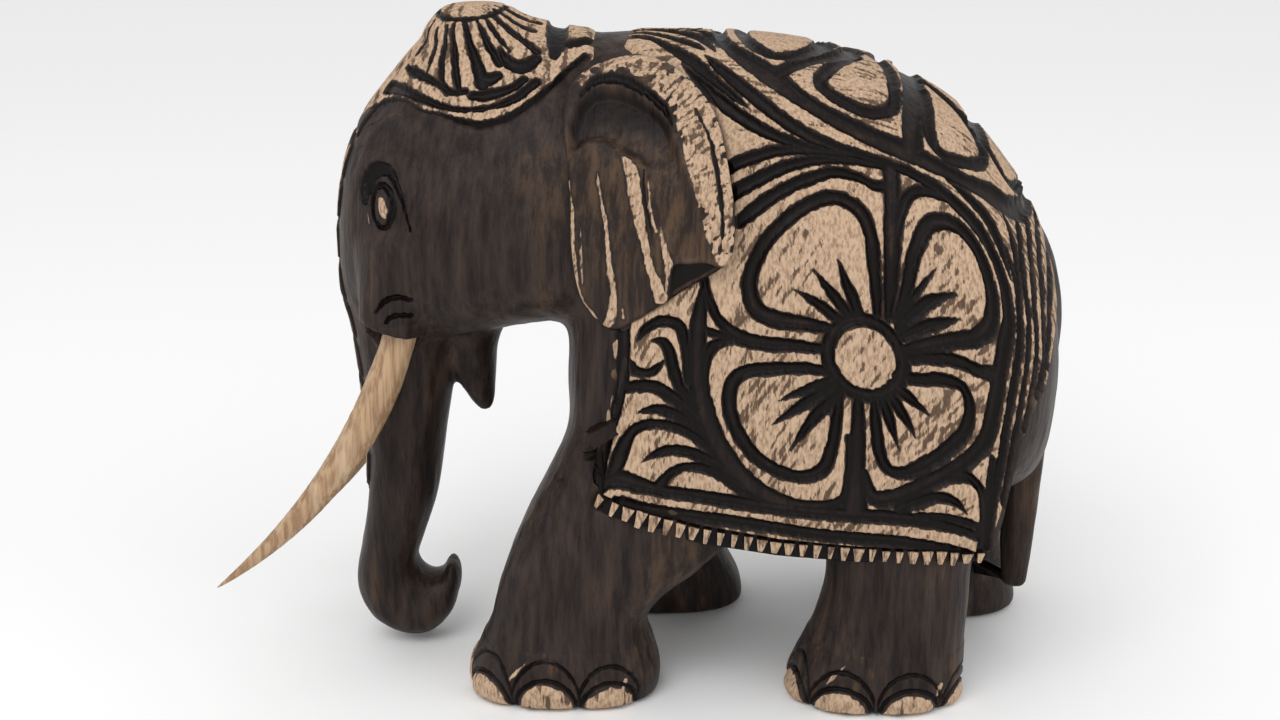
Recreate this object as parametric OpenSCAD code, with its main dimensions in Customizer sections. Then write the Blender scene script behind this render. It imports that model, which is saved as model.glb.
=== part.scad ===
// Carved wooden elephant, walking, with a carved saddle blanket and two tusks.
// The figure is one block of wood. Each tusk is a separate piece whose round
// tenon pushes into a socket drilled in the upper lip. The head points to -X,
// the left flank to -Y, and the origin lies on the ground under the middle.

/* [Figure] */
// Length of the carved block, trunk to tail
figure_length = 188; // [150:1:240]
// Width of the carved block, across the ears
figure_width = 99.5; // [80:0.5:130]
// Height of the carved block, soles to crown
figure_height = 172; // [140:1:215]

/* [Stance] */
// How far the left feet stand ahead of the right feet
stride = 24; // [0:1:30]
// Height at which the legs' swing has died away
swing_height = 90; // [70:1:110]
// Exponent of the leg outlines, 2 for an oval leg
leg_square = 2.5; // [2:0.1:4]

/* [Blanket] */
// How far the blanket stands proud of the flank
blanket_step = 1.6; // [0.8:0.1:3]
// Thickness of the blanket where it hangs clear of the belly
flap_thickness = 5; // [3:0.5:8]

/* [Ears] */
// Distance from the middle to the ear at the cheek
ear_root_y = 36; // [30:0.5:42]
// How much further out the rear edge of the ear stands
ear_flare = 14; // [6:0.5:16]
// Thickness of the ear rim
ear_thickness = 6; // [4:0.5:9]

/* [Head] */
// Radius of the flat disc on the crown
crown_r = 8; // [6:0.5:12]
// Half width of the raised strip down the trunk
strip_half_w = 8; // [5:0.5:10]
// How far the strip stands proud of the trunk
strip_step = 1.4; // [0.5:0.1:3]

/* [Tusks] */
// Horizontal reach of a tusk, from its seat to its tip
tusk_reach = 50; // [35:1:60]
// Drop of a tusk, from its seat to its tip
tusk_drop = 69; // [50:1:84]
// How much steeper the right tusk hangs than the left
right_tusk_turn = 7; // [0:0.5:10]
// Outward splay of a tusk at its tip
tusk_splay = 4; // [0:0.5:8]
// Depth of the tusk's section, in its plane of bending
tusk_depth = 9.2; // [6:0.2:11]
// Thickness of the tusk's section across that plane
tusk_width = 7.6; // [5:0.2:9]
// Diameter of the round tenon
tenon_d = 5; // [3:0.25:6.5]
// Length of the round tenon
tenon_length = 12; // [8:0.5:16]
// Radial clearance of the tenon in its socket
tenon_clearance = 0.05; // [0.02:0.01:0.1]
// Air left beyond the end of the tenon
socket_end_gap = 0.8; // [0.3:0.1:2]
// Gap between the tusk's shoulder and its seat
seat_gap = 0.2; // [0.1:0.05:0.4]

/* [Hidden] */

// The outlines below are drawn on a pattern of this size and brought to the
// size of the block afterwards.
pattern = [188, 99.5, 172];
fit = [figure_length / pattern[0], figure_width / pattern[1], figure_height / pattern[2]];
rearmost = 109.5;

// Torso, square to X: x, top, bottom, half width, height of the widest
// place, upper exponent, lower exponent
torso = [
    [-17.5, 112, 66, 20, 92, 2, 2],
    [-13, 146, 57, 33, 93, 2, 2.2],
    [-5, 163, 51, 40.5, 95, 2.1, 2.4],
    [10, 165, 47, 44, 97, 2.2, 2.6],
    [30, 164.2, 45, 45.5, 97, 2.25, 2.6],
    [50, 161, 44, 46, 96, 2.25, 2.6],
    [66, 155.6, 44, 45.5, 95, 2.25, 2.6],
    [80, 147, 45, 44, 93, 2.2, 2.5],
    [89.5, 137, 47, 41, 90, 2.2, 2.4],
    [97, 126, 49, 36, 87, 2.1, 2.3],
    [102.6, 113, 52, 28, 84, 2.1, 2.2],
    [106, 101, 58, 18, 81, 2, 2],
    [107.2, 93, 66, 10, 79, 2, 2],
];
// Lowest reach of the blanket's own section, and its lower exponent
blanket_low = 26;
blanket_square = 5;
// Blanket seen from the side: x, z
blanket_side = [
    [-14, 53.5], [-10, 66], [-6, 84], [-1, 100], [-2, 125], [-6, 150], [-8, 190],
    [120, 190], [120, 118], [98, 126], [96, 108], [93, 86], [89.5, 62], [87, 40.5],
    [50, 41.5], [16, 46],
];
// Where the inside of the blanket is hollowed, front and rear
hollow_x = [-12, 86];

// Head, square to X, in the torso's columns
head = [
    [-76, 127, 98, 9, 112, 2, 2],
    [-73.5, 137, 94, 15, 114, 1.9, 2],
    [-69, 146, 91, 20, 116, 1.8, 2.2],
    [-62, 155, 89, 24.5, 116, 1.7, 2.4],
    [-55, 163, 89, 28.5, 115, 1.65, 2.5],
    [-46, 170, 90, 31.5, 114, 1.65, 2.5],
    [-36, 171, 92, 34, 114, 1.7, 2.5],
    [-26, 168.5, 94, 35.5, 114, 1.8, 2.4],
    [-15, 166.3, 95, 36, 114, 1.9, 2.3],
    [0, 165, 96, 34, 114, 2, 2.2],
];
// Crown disc: x of its middle, height of its top, height, flare below it
crown = [-41, 172, 6, 4];

// Trunk: outer x and z, inner x and z, half width
trunk = [
    [-75.6, 118, -44, 118, 17],
    [-75.4, 98, -46.5, 98, 15.5],
    [-73.4, 78, -48.8, 77, 14.3],
    [-72.4, 58, -51.8, 58, 12.8],
    [-73, 43, -54.3, 43, 11.8],
    [-75.2, 29, -58, 32, 11],
    [-77.2, 17, -60.3, 25, 10.5],
    [-73.5, 7, -60, 22, 10.2],
    [-65, 1.8, -58.6, 20.2, 9.8],
    [-57, 2.3, -57, 19.4, 9],
    [-51.6, 7.6, -55, 19.2, 8],
    [-49.3, 14, -53.8, 19.8, 7],
    [-48.8, 19, -53, 21.5, 6.2],
    [-50, 23, -52.6, 23.2, 5],
];
// Last station of the trunk that the strip reaches, and the strip's depth
strip_last = 6;
strip_depth = 7;

// Hanging lower lip, square to Z: z, front, rear, inner and outer y
lower_lip = [
    [66, -42.2, -39.6, -1.6, 1.6],
    [69, -44.6, -38.6, -4, 4],
    [76, -48.4, -38, -7, 7],
    [84, -51.5, -37.4, -9.5, 9.5],
    [93, -55, -34, -12.5, 12.5],
    [101, -57, -30, -14, 14],
];

// Legs, square to Z: z, front, rear, inner and outer y
front_leg = [
    [0, -41.4, 4, 13.5, 42.6],
    [1.5, -43, 5.2, 12.2, 44],
    [7, -43, 5.6, 12, 44.6],
    [14, -40.4, 3.8, 13.4, 43.8],
    [21, -37.6, 2.4, 14.8, 43],
    [28, -36, 7, 15, 43],
    [36, -33.5, 17, 14, 43.4],
    [46, -29.5, 26, 12, 43.8],
    [58, -23.4, 31, 8, 43.6],
    [72, -17, 33, 4, 42.6],
    [90, -14.4, 30, 2, 39.5],
    [104, -12, 24, 2, 34],
];
hind_leg = [
    [0, 40.2, 82, 12.6, 44],
    [1.5, 38.6, 83.4, 11.2, 45.6],
    [7, 40, 84, 11, 45.8],
    [16, 44, 84, 12.4, 44.6],
    [28, 47.6, 84.5, 14.5, 43.8],
    [38, 48, 85, 13, 43.8],
    [50, 46, 88, 10, 43.6],
    [66, 44, 91, 6, 42.8],
    [84, 46, 93, 3, 40.5],
    [100, 50, 90, 2, 36],
];

// Tail, square to Z: z, front, rear, inner and outer y
tail = [
    [16.5, 98.6, 105, -3.4, 3.4],
    [30, 97.4, 106.2, -4.2, 4.2],
    [50, 97.4, 107.4, -4.8, 4.8],
    [76, 98, 108.6, -5.4, 5.4],
    [95, 98, rearmost, -6, 6],
    [112, 94, 105.4, -6.4, 6.4],
    [124, 87, 97.6, -6.4, 6.4],
];

// Ear outline: x and z, from the top round the rear edge
ear_outline = [
    [-1, 163.6], [7, 162], [13, 158.4], [18.5, 151.4], [21.8, 137], [22.5, 126.5],
    [20.5, 119.5], [10.5, 112], [-0.5, 104], [-6, 101.4], [-11.3, 105], [-14.6, 112],
    [-16.2, 126], [-17, 142], [-18, 151.4], [-16, 157.4], [-10, 161.4],
];
// Front and rear of the ear, height where it starts to lean in over the
// neck, height where it would meet the middle, exponent of that curve
ear_front_x = -17.5;
ear_rear_x = 22.5;
ear_lean_z = 118;
ear_close_z = 166;
ear_square = 2.2;
// Middle of the ear's face, and the place inside that its back runs down to
ear_mid = [2, 134];
ear_anchor = [-8, -10, 130];
// Rings of the ear: share of the outline, share of the way to the anchor
ear_face = [0.04, 0.4, 0.75, 0.95, 1];
ear_back = [[1, 0.5], [1, 1], [0.95, 1.6], [0.82, 3.4], [0.64, 5.4]];
ear_back_run = 45;

// Upper lip at each tusk: top ball and lower ball, each x, y, z and radius
lip_top = [-58.5, 17, 113, 11.5];
lip_low = [-62.4, 20.4, 93, 8.2];
// Middle of each tusk's seat, on the pattern
seat_pattern = [-59.6, 21, 94.2];
// Part of the tusk's drop and reach where its handle lies
tusk_pull = [0.24, 0.6];
// Flat cut across the lip at the seat: x and y from the seat, radius, depth
lip_flat = [-2.6, 4.4, 10.4, 14];
// Tusk: slimmer at the root by this share, fullest at this place, exponent
// of the taper, number of rings and where the blunt tip ends
root_waist = 0.08;
swell_end = 0.16;
taper = 0.8;
tusk_rings = 24;
tusk_end = 0.992;
// How far the tenon is rooted in the tusk
tenon_sunk = 3;

ring_points = 40;
leg_points = 26;
sweep_points = 22;
ear_points = 2;
steps = 2;
bore_fn = 64;

seat = [for (k = [0:2]) seat_pattern[k] * fit[k]];
tusk_mid = [-tusk_reach * tusk_pull[0], -tusk_drop * tusk_pull[1]];
tusk_tilt = atan2(-tusk_mid[0], -tusk_mid[1]);
tip_x = seat[0] - tusk_reach;
centre_x = (tip_x + rearmost * fit[0]) / 2;

// Catmull-Rom curve through rows of numbers
function blend(a, b, c, d, t) =
    0.5 * (2 * b + (c - a) * t + (2 * a - 5 * b + 4 * c - d) * t * t
    + (3 * b - a - 3 * c + d) * t * t * t);
function smooth(rows, n) = concat(
    [for (i = [0:len(rows) - 2], j = [0:n - 1])
        blend(rows[max(i - 1, 0)], rows[i], rows[i + 1], rows[min(i + 2, len(rows) - 1)], j / n)],
    [rows[len(rows) - 1]]);
function smooth_loop(rows, n) = let (m = len(rows))
    [for (i = [0:m - 1], j = [0:n - 1])
        blend(rows[(i + m - 1) % m], rows[i], rows[(i + 1) % m], rows[(i + 2) % m], j / n)];

// One coordinate of a superellipse
function bulge(v, square) = sign(v) * pow(abs(v), 2 / square);

// Ring square to X from one row of the torso or head
function ring_x(s, grow = 0) = [
    for (k = [0:ring_points - 1])
        let (c = cos(360 * k / ring_points), q = sin(360 * k / ring_points), p = q > 0 ? s[5] : s[6])
        [s[0], bulge(c, p) * (s[3] + grow),
         s[4] + bulge(q, p) * (q > 0 ? s[1] + grow - s[4] : s[4] - s[2])]
];

// Ring square to Z from one row of a leg, lip or tail, moved by shift in X
function ring_z(s, shift = 0) = [
    for (k = [0:leg_points - 1])
        let (c = cos(360 * k / leg_points), q = sin(360 * k / leg_points))
        [(s[1] + s[2]) / 2 + shift + bulge(c, leg_square) * (s[2] - s[1]) / 2,
         (s[3] + s[4]) / 2 + bulge(q, leg_square) * (s[4] - s[3]) / 2, s[0]]
];

// Ring across the trunk between its outer and inner line
function ring_trunk(s, square) = [
    for (k = [0:sweep_points - 1])
        let (c = bulge(cos(360 * k / sweep_points), square), q = bulge(sin(360 * k / sweep_points), square))
        [(s[0] + s[2]) / 2 + q * (s[2] - s[0]) / 2, c * s[4], (s[1] + s[3]) / 2 + q * (s[3] - s[1]) / 2]
];

// Solid through a list of rings
module loft(rings) {
    n = len(rings[0]);
    m = len(rings);
    sides = [for (i = [0:m - 2], k = [0:n - 1])
        each [[i * n + k, (i + 1) * n + k, (i + 1) * n + (k + 1) % n],
              [i * n + k, (i + 1) * n + (k + 1) % n, i * n + (k + 1) % n]]];
    caps = [[for (k = [0:n - 1]) k], [for (k = [n - 1:-1:0]) (m - 1) * n + k]];
    polyhedron([for (r = rings) each r], concat(sides, caps), convexity = 8);
}

module torso_form() {
    loft([for (s = smooth(torso, steps)) ring_x(s)]);
}

// The blanket's section runs straight down past the belly
function blanket_row(s) = [s[0], s[1], blanket_low, s[3], s[4], s[5], blanket_square];

module blanket() {
    difference() {
        intersection() {
            loft([for (s = smooth(torso, steps)) ring_x(blanket_row(s), blanket_step)]);
            rotate([90, 0, 0])
                linear_extrude(2 * pattern[1], center = true)
                    polygon(blanket_side);
        }
        intersection() {
            loft([for (s = smooth(torso, steps)) ring_x(blanket_row(s), -flap_thickness)]);
            translate([hollow_x[0], -pattern[1], 0])
                cube([hollow_x[1] - hollow_x[0], 2 * pattern[1], pattern[2] / 2]);
        }
    }
}

module head_form() {
    loft([for (s = smooth(head, steps)) ring_x(s)]);
    translate([crown[0], 0, crown[1] - crown[2]])
        cylinder(h = crown[2], r1 = crown_r + crown[3], r2 = crown_r, $fn = 36);
}

module trunk_form() {
    loft([for (s = smooth(trunk, steps)) ring_trunk(s, 2.2)]);
    strip = [for (i = [0:strip_last])
        let (s = trunk[i]) [s[0] - strip_step, s[1], s[0] + strip_depth, s[1], strip_half_w]];
    loft([for (s = smooth(strip, steps)) ring_trunk(s, 4)]);
}

// One leg; the foot is moved by shift and the hip stays where it is
module leg(rows, shift) {
    loft([for (s = smooth(rows, steps)) ring_z(s, shift * max(0, 1 - s[0] / swing_height))]);
}

// Place on the ear's face at x and z
function ear_y(x, z) = let (
    lean = (x - ear_front_x) / (ear_rear_x - ear_front_x),
    rise = max(0, z - ear_lean_z) / (ear_close_z - ear_lean_z))
    -(ear_root_y + ear_flare * lean) * pow(1 - pow(rise, ear_square), 1 / ear_square);

// Ring of the ear: share of its outline, then share of the way to the anchor
function ear_ring(outline, share, inward) = [
    for (p = outline)
        let (x = ear_mid[0] + (p[0] - ear_mid[0]) * share,
             z = ear_mid[1] + (p[1] - ear_mid[1]) * share,
             face = [x, ear_y(x, z), z])
        face + (ear_anchor - face) * inward
];

module ear() {
    outline = smooth_loop(ear_outline, ear_points);
    loft(concat(
        [for (share = ear_face) ear_ring(outline, share, 0)],
        [for (b = ear_back) ear_ring(outline, b[0], b[1] * ear_thickness / ear_back_run)]));
}

module upper_lip() {
    hull() {
        translate([lip_top[0], -lip_top[1], lip_top[2]]) sphere(r = lip_top[3], $fn = 28);
        translate([lip_low[0], -lip_low[1], lip_low[2]]) sphere(r = lip_low[3], $fn = 28);
    }
}

module both_sides() {
    children();
    mirror([0, 1, 0]) children();
}

// The whole figure at the size of the pattern
module figure() {
    torso_form();
    blanket();
    head_form();
    trunk_form();
    loft([for (s = smooth(lower_lip, steps)) ring_z(s)]);
    loft([for (s = smooth(tail, steps)) ring_z(s)]);
    both_sides() {
        ear();
        upper_lip();
    }
    mirror([0, 1, 0]) {
        leg(front_leg, 0);
        leg(hind_leg, 0);
    }
    leg(front_leg, stride);
    leg(hind_leg, stride);
}

// Places a child on one side in the tusk's own frame: origin on the seat, -Z
// out of the lip
module at_seat(turn) {
    translate([seat[0] - centre_x, -seat[1], seat[2]])
        rotate([0, tusk_tilt - turn, 0])
            children();
}

// Flat across the lip and drilled socket for one tusk, on the left
module tusk_socket(turn) {
    at_seat(turn) {
        translate([lip_flat[0], -lip_flat[1], -lip_flat[3]])
            cylinder(h = lip_flat[3], r = lip_flat[2], $fn = bore_fn);
        translate([0, 0, -1])
            cylinder(h = tenon_length + socket_end_gap + 1, d = tenon_d + 2 * tenon_clearance, $fn = bore_fn);
    }
}

// Place, direction and size of the tusk's section at t along it
function tusk_at(t) = [
    2 * t * (1 - t) * tusk_mid[0] - t * t * tusk_reach,
    -t * tusk_splay,
    2 * t * (1 - t) * tusk_mid[1] - t * t * tusk_drop
];
function tusk_dir(t) = let (d = [
    (1 - 2 * t) * tusk_mid[0] - t * tusk_reach, 0,
    (1 - 2 * t) * tusk_mid[1] - t * tusk_drop]) d / norm(d);
function tusk_size(t) = t < swell_end ? 1 - root_waist * cos(90 * t / swell_end) :
    pow(cos(90 * (t - swell_end) / (1 - swell_end)), taper);

// Ring of the tusk; the first one stays clear of the seat
function tusk_ring(t) = let (
    c = tusk_at(t) + (t == 0 ? tusk_dir(0) * seat_gap : [0, 0, 0]),
    d = tusk_dir(t),
    w = tusk_size(t))
    [for (k = [0:sweep_points - 1])
        let (up = sin(360 * k / sweep_points) * w * tusk_depth / 2,
             out = cos(360 * k / sweep_points) * w * tusk_width / 2)
        c + [-d[2] * up, out, d[0] * up]];

// One tusk with its tenon, on the left
module tusk(turn) {
    at_seat(turn) {
        rotate([0, -tusk_tilt, 0])
            loft([for (i = [0:tusk_rings]) tusk_ring(tusk_end * i / tusk_rings)]);
        translate([0, 0, -seat_gap - tenon_sunk])
            cylinder(h = tenon_length + seat_gap + tenon_sunk, d = tenon_d, $fn = bore_fn);
    }
}

module carved_body() {
    color("#3b2e25")
        difference() {
            translate([-centre_x, 0, 0])
                resize([figure_length, figure_width, figure_height])
                    figure();
            tusk_socket(0);
            mirror([0, 1, 0]) tusk_socket(right_tusk_turn);
        }
}

module left_tusk() {
    color("#b8925f") tusk(0);
}

module right_tusk() {
    color("#b8925f") mirror([0, 1, 0]) tusk(right_tusk_turn);
}

carved_body();
left_tusk();
right_tusk();
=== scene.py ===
# Carved wooden elephant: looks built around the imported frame. Lengths in the tables are millimetres.
import bpy, math
import numpy as np
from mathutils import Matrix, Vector
import openvdb as vdb


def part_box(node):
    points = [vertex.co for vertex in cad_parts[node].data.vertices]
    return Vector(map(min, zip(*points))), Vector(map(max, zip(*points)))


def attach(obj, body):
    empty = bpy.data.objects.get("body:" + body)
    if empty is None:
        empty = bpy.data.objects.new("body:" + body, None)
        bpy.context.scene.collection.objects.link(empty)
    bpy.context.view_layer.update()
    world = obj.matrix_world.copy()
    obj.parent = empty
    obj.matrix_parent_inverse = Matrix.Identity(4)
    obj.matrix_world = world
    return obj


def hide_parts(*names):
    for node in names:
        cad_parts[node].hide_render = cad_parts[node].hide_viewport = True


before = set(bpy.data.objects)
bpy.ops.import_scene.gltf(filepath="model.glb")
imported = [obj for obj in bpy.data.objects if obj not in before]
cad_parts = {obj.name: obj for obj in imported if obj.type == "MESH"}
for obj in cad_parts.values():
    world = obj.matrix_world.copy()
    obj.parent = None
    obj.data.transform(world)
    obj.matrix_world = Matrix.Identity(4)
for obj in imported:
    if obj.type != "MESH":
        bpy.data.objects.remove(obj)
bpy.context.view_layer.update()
bodyBox = np.array(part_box("carved_body"), float) * 1000.0
print("frame loaded, body box in mm:", bodyBox.round(1).tolist())

cameraView = {"target": (0.0, 0.0, 0.080), "distance": 0.500, "azimuth": 1.0, "elevation": 18.0,
              "lens": 53.44,
              "film": 36.0}


def newObject(name, data):
    obj = bpy.data.objects.new(name, data)
    bpy.context.scene.collection.objects.link(obj)
    return obj


def aimCamera(view):
    az, el = math.radians(view["azimuth"]), math.radians(view["elevation"])
    back = np.array([math.sin(az) * math.cos(el), -math.cos(az) * math.cos(el), math.sin(el)])
    data = bpy.data.cameras.new("camera")
    data.lens = view["lens"]
    data.sensor_width = view["film"]
    data.clip_start = 0.01
    cam = newObject("camera", data)
    cam.location = np.array(view["target"]) + back * view["distance"]
    cam.rotation_euler = (math.pi / 2 - el, 0.0, az)
    bpy.context.scene.camera = cam


aimCamera(cameraView)

# The forms under the carving, in millimetres, with -X toward the head.
# Torso and head rows are square to X:
# x, top, bottom, half width, height of the widest, upper and lower exponent
torsoRows = [
    [-17.5, 112, 66, 20, 92, 2, 2], [-13, 146, 57, 33, 93, 2, 2.2], [-5, 163, 51, 40.5, 95, 2.1, 2.4],
    [10, 165, 47, 44, 97, 2.2, 2.6], [30, 164.2, 45, 45.5, 97, 2.25, 2.6], [50, 161, 44, 46, 96, 2.25, 2.6],
    [66, 155.6, 44, 45.5, 95, 2.25, 2.6], [80, 147, 45, 44, 93, 2.2, 2.5], [89.5, 137, 47, 41, 90, 2.2, 2.4],
    [97, 126, 49, 36, 87, 2.1, 2.3], [102.6, 113, 52, 28, 84, 2.1, 2.2], [106, 101, 58, 18, 81, 2, 2],
    [107.2, 93, 66, 10, 79, 2, 2]]
headRows = [
    [-76, 127, 98, 9, 112, 2, 2], [-73.5, 137, 94, 15, 114, 1.9, 2], [-69, 146, 91, 20, 116, 1.8, 2.2],
    [-62, 155, 89, 24.5, 116, 1.7, 2.4], [-55, 163, 89, 28.5, 115, 1.65, 2.5],
    [-46, 170, 90, 31.5, 114, 1.65, 2.5],
    [-36, 171, 92, 34, 114, 1.7, 2.5], [-26, 168.5, 94, 35.5, 114, 1.8, 2.4],
    [-15, 166.3, 95, 36, 114, 1.9, 2.3],
    [0, 165, 96, 34, 114, 2, 2.2]]
# trunk rows: outer x and z, inner x and z, half width
trunkRows = [
    [-75.6, 118, -44, 118, 17], [-75.4, 98, -46.5, 98, 15.5], [-73.4, 78, -48.8, 77, 14.3],
    [-72.4, 58, -51.8, 58, 12.8], [-73, 43, -54.3, 43, 11.8], [-75.2, 29, -58, 32, 11],
    [-77.2, 17, -60.3, 25, 10.5], [-73.5, 7, -60, 22, 10.2], [-65, 1.8, -58.6, 20.2, 9.8],
    [-57, 2.3, -57, 19.4, 9], [-51.6, 7.6, -55, 19.2, 8], [-49.3, 14, -53.8, 19.8, 7],
    [-48.8, 19, -53, 21.5, 6.2], [-50, 23, -52.6, 23.2, 5]]
# leg, lip and tail rows are square to Z: z, front, rear, inner and outer y
frontLegRows = [
    [0, -41.4, 4, 13.5, 42.6], [1.5, -43, 5.2, 12.2, 44], [7, -43, 5.6, 12, 44.6],
    [14, -40.4, 3.8, 13.4, 43.8],
    [21, -37.6, 2.4, 14.8, 43], [28, -36, 7, 15, 43], [36, -33.5, 17, 14, 43.4], [46, -29.5, 26, 12, 43.8],
    [58, -23.4, 31, 8, 43.6], [72, -17, 33, 4, 42.6], [90, -14.4, 30, 2, 39.5], [104, -12, 24, 2, 34]]
hindLegRows = [
    [0, 40.2, 82, 12.6, 44], [1.5, 38.6, 83.4, 11.2, 45.6], [7, 40, 84, 11, 45.8], [16, 44, 84, 12.4, 44.6],
    [28, 47.6, 84.5, 14.5, 43.8], [38, 48, 85, 13, 43.8], [50, 46, 88, 10, 43.6], [66, 44, 91, 6, 42.8],
    [84, 46, 93, 3, 40.5], [100, 50, 90, 2, 36]]
lowerLipRows = [
    [66, -42.2, -39.6, -1.6, 1.6], [69, -44.6, -38.6, -4, 4], [76, -48.4, -38, -7, 7],
    [84, -51.5, -37.4, -9.5, 9.5],
    [93, -55, -34, -12.5, 12.5], [101, -57, -30, -14, 14]]
tailRows = [
    [16.5, 98.6, 105, -3.4, 3.4], [30, 97.4, 106.2, -4.2, 4.2], [50, 97.4, 107.4, -4.8, 4.8],
    [76, 98, 108.6, -5.4, 5.4], [95, 98, 109.5, -6, 6], [112, 94, 105.4, -6.4, 6.4],
    [124, 87, 97.6, -6.4, 6.4]]
crownRows = [[166, 12.0], [168.5, 10.2], [170.6, 8.6], [171.7, 6.6], [172.0, 3.0]]   # height, radius
stance = {"stride": 24.0, "swingHeight": 90.0, "square": 2.5, "trunkSquare": 2.2, "crownX": -41.0}


def smoothRows(rows, steps):   # a smooth curve through the rows, with some steps from each to the next
    r = np.array(rows, float)
    out = []
    for i in range(len(r) - 1):
        a, b, c, d = r[max(i - 1, 0)], r[i], r[i + 1], r[min(i + 2, len(r) - 1)]
        for t in np.arange(steps) / steps:
            out.append(0.5 * (2 * b + (c - a) * t + (2 * a - 5 * b + 4 * c - d) * t * t
                              + (3 * b - a - 3 * c + d) * t ** 3))
    return np.array(out + [r[-1]])


def bulge(v, square):   # pushes a cosine or sine out from a circle toward a square
    return np.sign(v) * np.abs(v) ** (2.0 / square)


def around(points):   # cosine and sine round a ring
    a = np.linspace(0, 2 * np.pi, points, endpoint=False)[None, :]
    return np.cos(a), np.sin(a)


def ringsAlongX(rows, steps, points):
    s = smoothRows(rows, steps)[:, :, None]
    c, q = around(points)
    p = np.where(q > 0, s[:, 5], s[:, 6])
    y = bulge(c, p) * s[:, 3]
    z = s[:, 4] + bulge(q, p) * np.where(q > 0, s[:, 1] - s[:, 4], s[:, 4] - s[:, 2])
    return np.stack([s[:, 0] + 0 * y, y, z], -1)


def ringsAlongZ(rows, steps, points, stride=0.0):   # the stride carries a leg back, most of all at the ground
    s = smoothRows(rows, steps)[:, :, None]
    c, q = (bulge(v, stance["square"]) for v in around(points))
    swing = stride * np.maximum(0, 1 - s[:, 0] / stance["swingHeight"])
    x = (s[:, 1] + s[:, 2]) / 2 + swing + c * (s[:, 2] - s[:, 1]) / 2
    y = (s[:, 3] + s[:, 4]) / 2 + q * (s[:, 4] - s[:, 3]) / 2
    return np.stack([x, y, s[:, 0] + 0 * x], -1)


def ringsOfTrunk(rows, steps, points):
    s = smoothRows(rows, steps)[:, :, None]
    c, q = (bulge(v, stance["trunkSquare"]) for v in around(points))
    x = (s[:, 0] + s[:, 2]) / 2 + q * (s[:, 2] - s[:, 0]) / 2
    z = (s[:, 1] + s[:, 3]) / 2 + q * (s[:, 3] - s[:, 1]) / 2
    return np.stack([x, c * s[:, 4], z], -1)


def closedLoft(rings, flip=False):   # a skin over the rings, closed at both ends
    m, n, _ = rings.shape
    pts = np.vstack([rings.reshape(-1, 3), rings[0].mean(0), rings[-1].mean(0)])
    i, k = np.meshgrid(np.arange(m - 1), np.arange(n), indexing="ij")
    a, b = (i * n + k).ravel(), (i * n + (k + 1) % n).ravel()
    tris = [np.stack([a, b, b + n], 1), np.stack([a, b + n, a + n], 1)]
    e, f = np.arange(n), (np.arange(n) + 1) % n
    tris.append(np.stack([f, e, 0 * e + m * n], 1))
    tris.append(np.stack([e + (m - 1) * n, f + (m - 1) * n, 0 * e + m * n + 1], 1))
    tris = np.vstack(tris)
    return pts, tris[:, ::-1] if flip else tris


class Field:   # signed distance on a lattice, in millimetres
    def __init__(self, values, low, pitch):
        self.values, self.low, self.pitch = values, np.array(low, float), pitch

    def at(self, points):
        g = (np.asarray(points) - self.low) / self.pitch
        top = np.array(self.values.shape) - 1.001
        g = np.clip(g, 0, top)
        i = g.astype(np.int64)
        f = (g - i).astype(np.float32)
        v, (ny, nz) = self.values.ravel(), self.values.shape[1:]
        base = (i[..., 0] * ny + i[..., 1]) * nz + i[..., 2]
        fx, fy, fz = f[..., 0], f[..., 1], f[..., 2]
        out = 0
        for dx in (0, 1):
            for dy in (0, 1):
                for dz in (0, 1):
                    w = (fx if dx else 1 - fx) * (fy if dy else 1 - fy) * (fz if dz else 1 - fz)
                    out = out + w * v[base + (dx * ny + dy) * nz + dz]
        return out

    def normal(self, points, step=0.7):
        n = np.stack([self.at(points + e) - self.at(points - e) for e in np.eye(3) * step], -1)
        return n / np.maximum(np.linalg.norm(n, axis=-1, keepdims=True), 1e-9)


def latticeOf(low, high, pitch):   # first lattice place and number of places each way
    low, high = np.floor(np.array(low) / pitch), np.ceil(np.array(high) / pitch)
    return low.astype(int), (high - low).astype(int) + 1


def distanceOf(loft, low, shape, pitch):   # signed distance to a closed loft, on the lattice
    pts, tris = loft
    grid = vdb.FloatGrid.createLevelSetFromPolygons(
        pts.astype(np.float32), triangles=tris.astype(np.uint32),
        transform=vdb.createLinearTransform(voxelSize=pitch), halfWidth=skinShape["band"] / pitch)
    out = np.empty(tuple(shape), np.float32)
    grid.copyToArray(out, ijk=tuple(int(v) for v in low))
    return out


def blendUnion(a, b, k):   # joins two forms with a soft fillet of size k
    near = np.clip(1.0 - np.maximum(a, b) / skinShape["band"], 0, 1)   # no blend where both are far off
    h = near * np.maximum(k - np.abs(a - b), 0) / k
    return np.minimum(a, b) - h * h * k / 4


def blurred(v, sigma):   # evens a lattice out, so the joined forms flow together
    r = int(math.ceil(2.5 * sigma))
    w = np.exp(-0.5 * (np.arange(-r, r + 1) / sigma) ** 2)
    w /= w.sum()
    for axis in range(3):
        pad = [(r, r) if a == axis else (0, 0) for a in range(3)]
        p = np.pad(v, pad, mode="edge")
        n = v.shape[axis]
        out = np.zeros_like(v)
        for j, wj in enumerate(w):
            cut = [slice(None)] * 3
            cut[axis] = slice(j, j + n)
            out += np.float32(wj) * p[tuple(cut)]
        v = out
    return v


skinShape = {"pitch": 0.8, "margin": 6.0, "band": 8.0, "blur": 1.0, "legs": 7.0, "neck": 7.0, "tail": 2.5,
             "trunk": 5.0, "crown": 4.0, "lowerLip": 3.0, "upperLip": 3.0, "underBlanket": 2.8,
             "toolMarks": 0.16,
             "planed": 0.05, "boxWall": 1.5, "ground": 0.02}
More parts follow.
